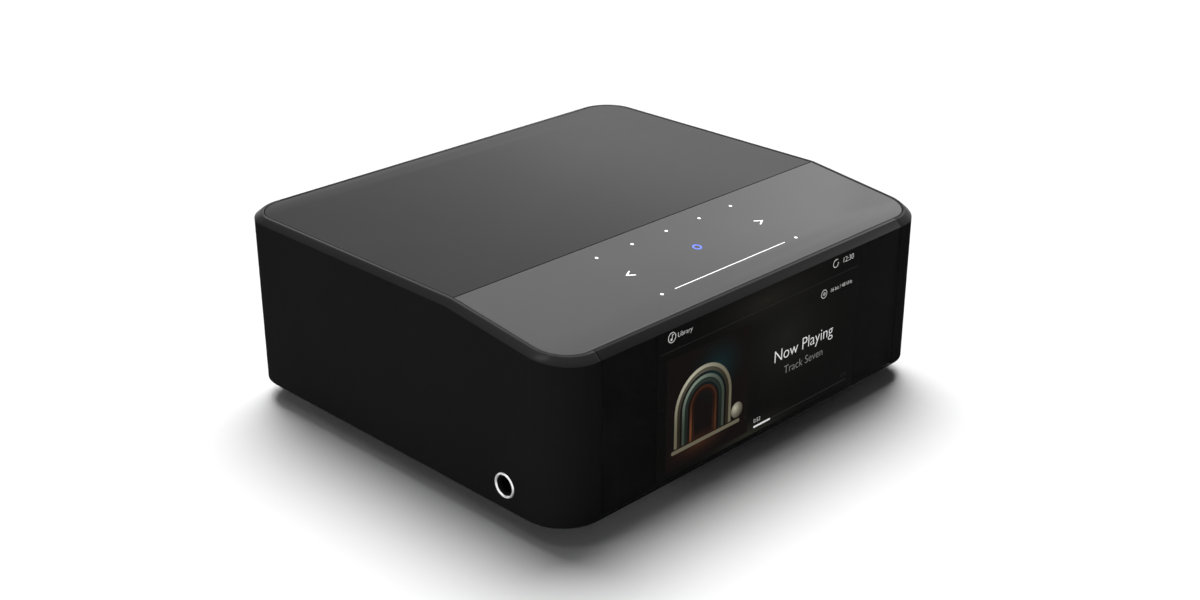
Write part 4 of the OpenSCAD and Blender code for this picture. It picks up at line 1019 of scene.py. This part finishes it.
def add_seeing_rays(tree):
    """1 for the rays that show the surround to the camera, 0 for those that carry light to a matt surface."""
    path = add_node(tree, "LightPath")
    seeing = join_values(tree, "MAXIMUM", path.outputs["Is Camera Ray"], path.outputs["Is Glossy Ray"])
    seeing = join_values(tree, "MAXIMUM", seeing, path.outputs["Is Transmission Ray"])
    direct = join_values(tree, "LESS_THAN", path.outputs["Diffuse Depth"], BEFORE_MATT)
    return join_values(tree, "MULTIPLY", seeing, direct)


def add_dim_quarter(tree):
    """Share of the surround's brightness that gloss mirrors from each direction, and 1 for other rays."""
    place = add_node(tree, "TexCoord")
    toward = add_node(tree, "VectorMath", operation="DOT_PRODUCT")
    toward.inputs[1].default_value = DIM_MIDDLE
    tree.links.new(place.outputs["Generated"], toward.inputs[0])
    quarter = map_range(tree, toward.outputs["Value"], DIM_REACH, 1.0, 1.0 - DIM_SHARE)
    path = add_node(tree, "LightPath")
    return map_range(tree, path.outputs["Is Glossy Ray"], (0.0, 1.0), 1.0, quarter)


def make_surround():
    """White surround for the rays that see it, dim as a light."""
    world = bpy.data.worlds.new("surround")
    world.use_nodes = True
    bpy.context.scene.world = world
    tree = world.node_tree
    back = tree.nodes["Background"]
    back.inputs["Color"].default_value = rgba(1)
    level = map_range(tree, add_seeing_rays(tree), (0.0, 1.0), AMBIENT, 1.0)
    strength = join_values(tree, "MULTIPLY", level, add_dim_quarter(tree))
    tree.links.new(strength, back.inputs["Strength"])


def make_lights():
    """Main light for the soft shadow, low fill on the left wall, faint spot on the near corner's bevel."""
    for name, source, width, strength, mirrored in LIGHTS:
        lamp = bpy.data.lights.new(name, "SUN")
        lamp.energy = strength
        lamp.angle = width
        made = add_to_scene(name, lamp)
        turn_to(made, source, "Z")
        made.visible_glossy = mirrored


def make_camera():
    """Camera at the photograph's viewing angle."""
    lens = bpy.data.cameras.new("camera")
    lens.lens = CAMERA_LENS
    lens.sensor_width = CAMERA_SENSOR
    lens.clip_start = CAMERA_NEAR
    made = add_to_scene("camera", lens)
    made.location = CAMERA_AT
    turn_to(made, CAMERA_AIM - CAMERA_AT, "-Z")
    bpy.context.scene.camera = made


make_floor()
make_surround()
make_lights()
make_camera()
bpy.context.scene.view_settings.view_transform = "Standard"
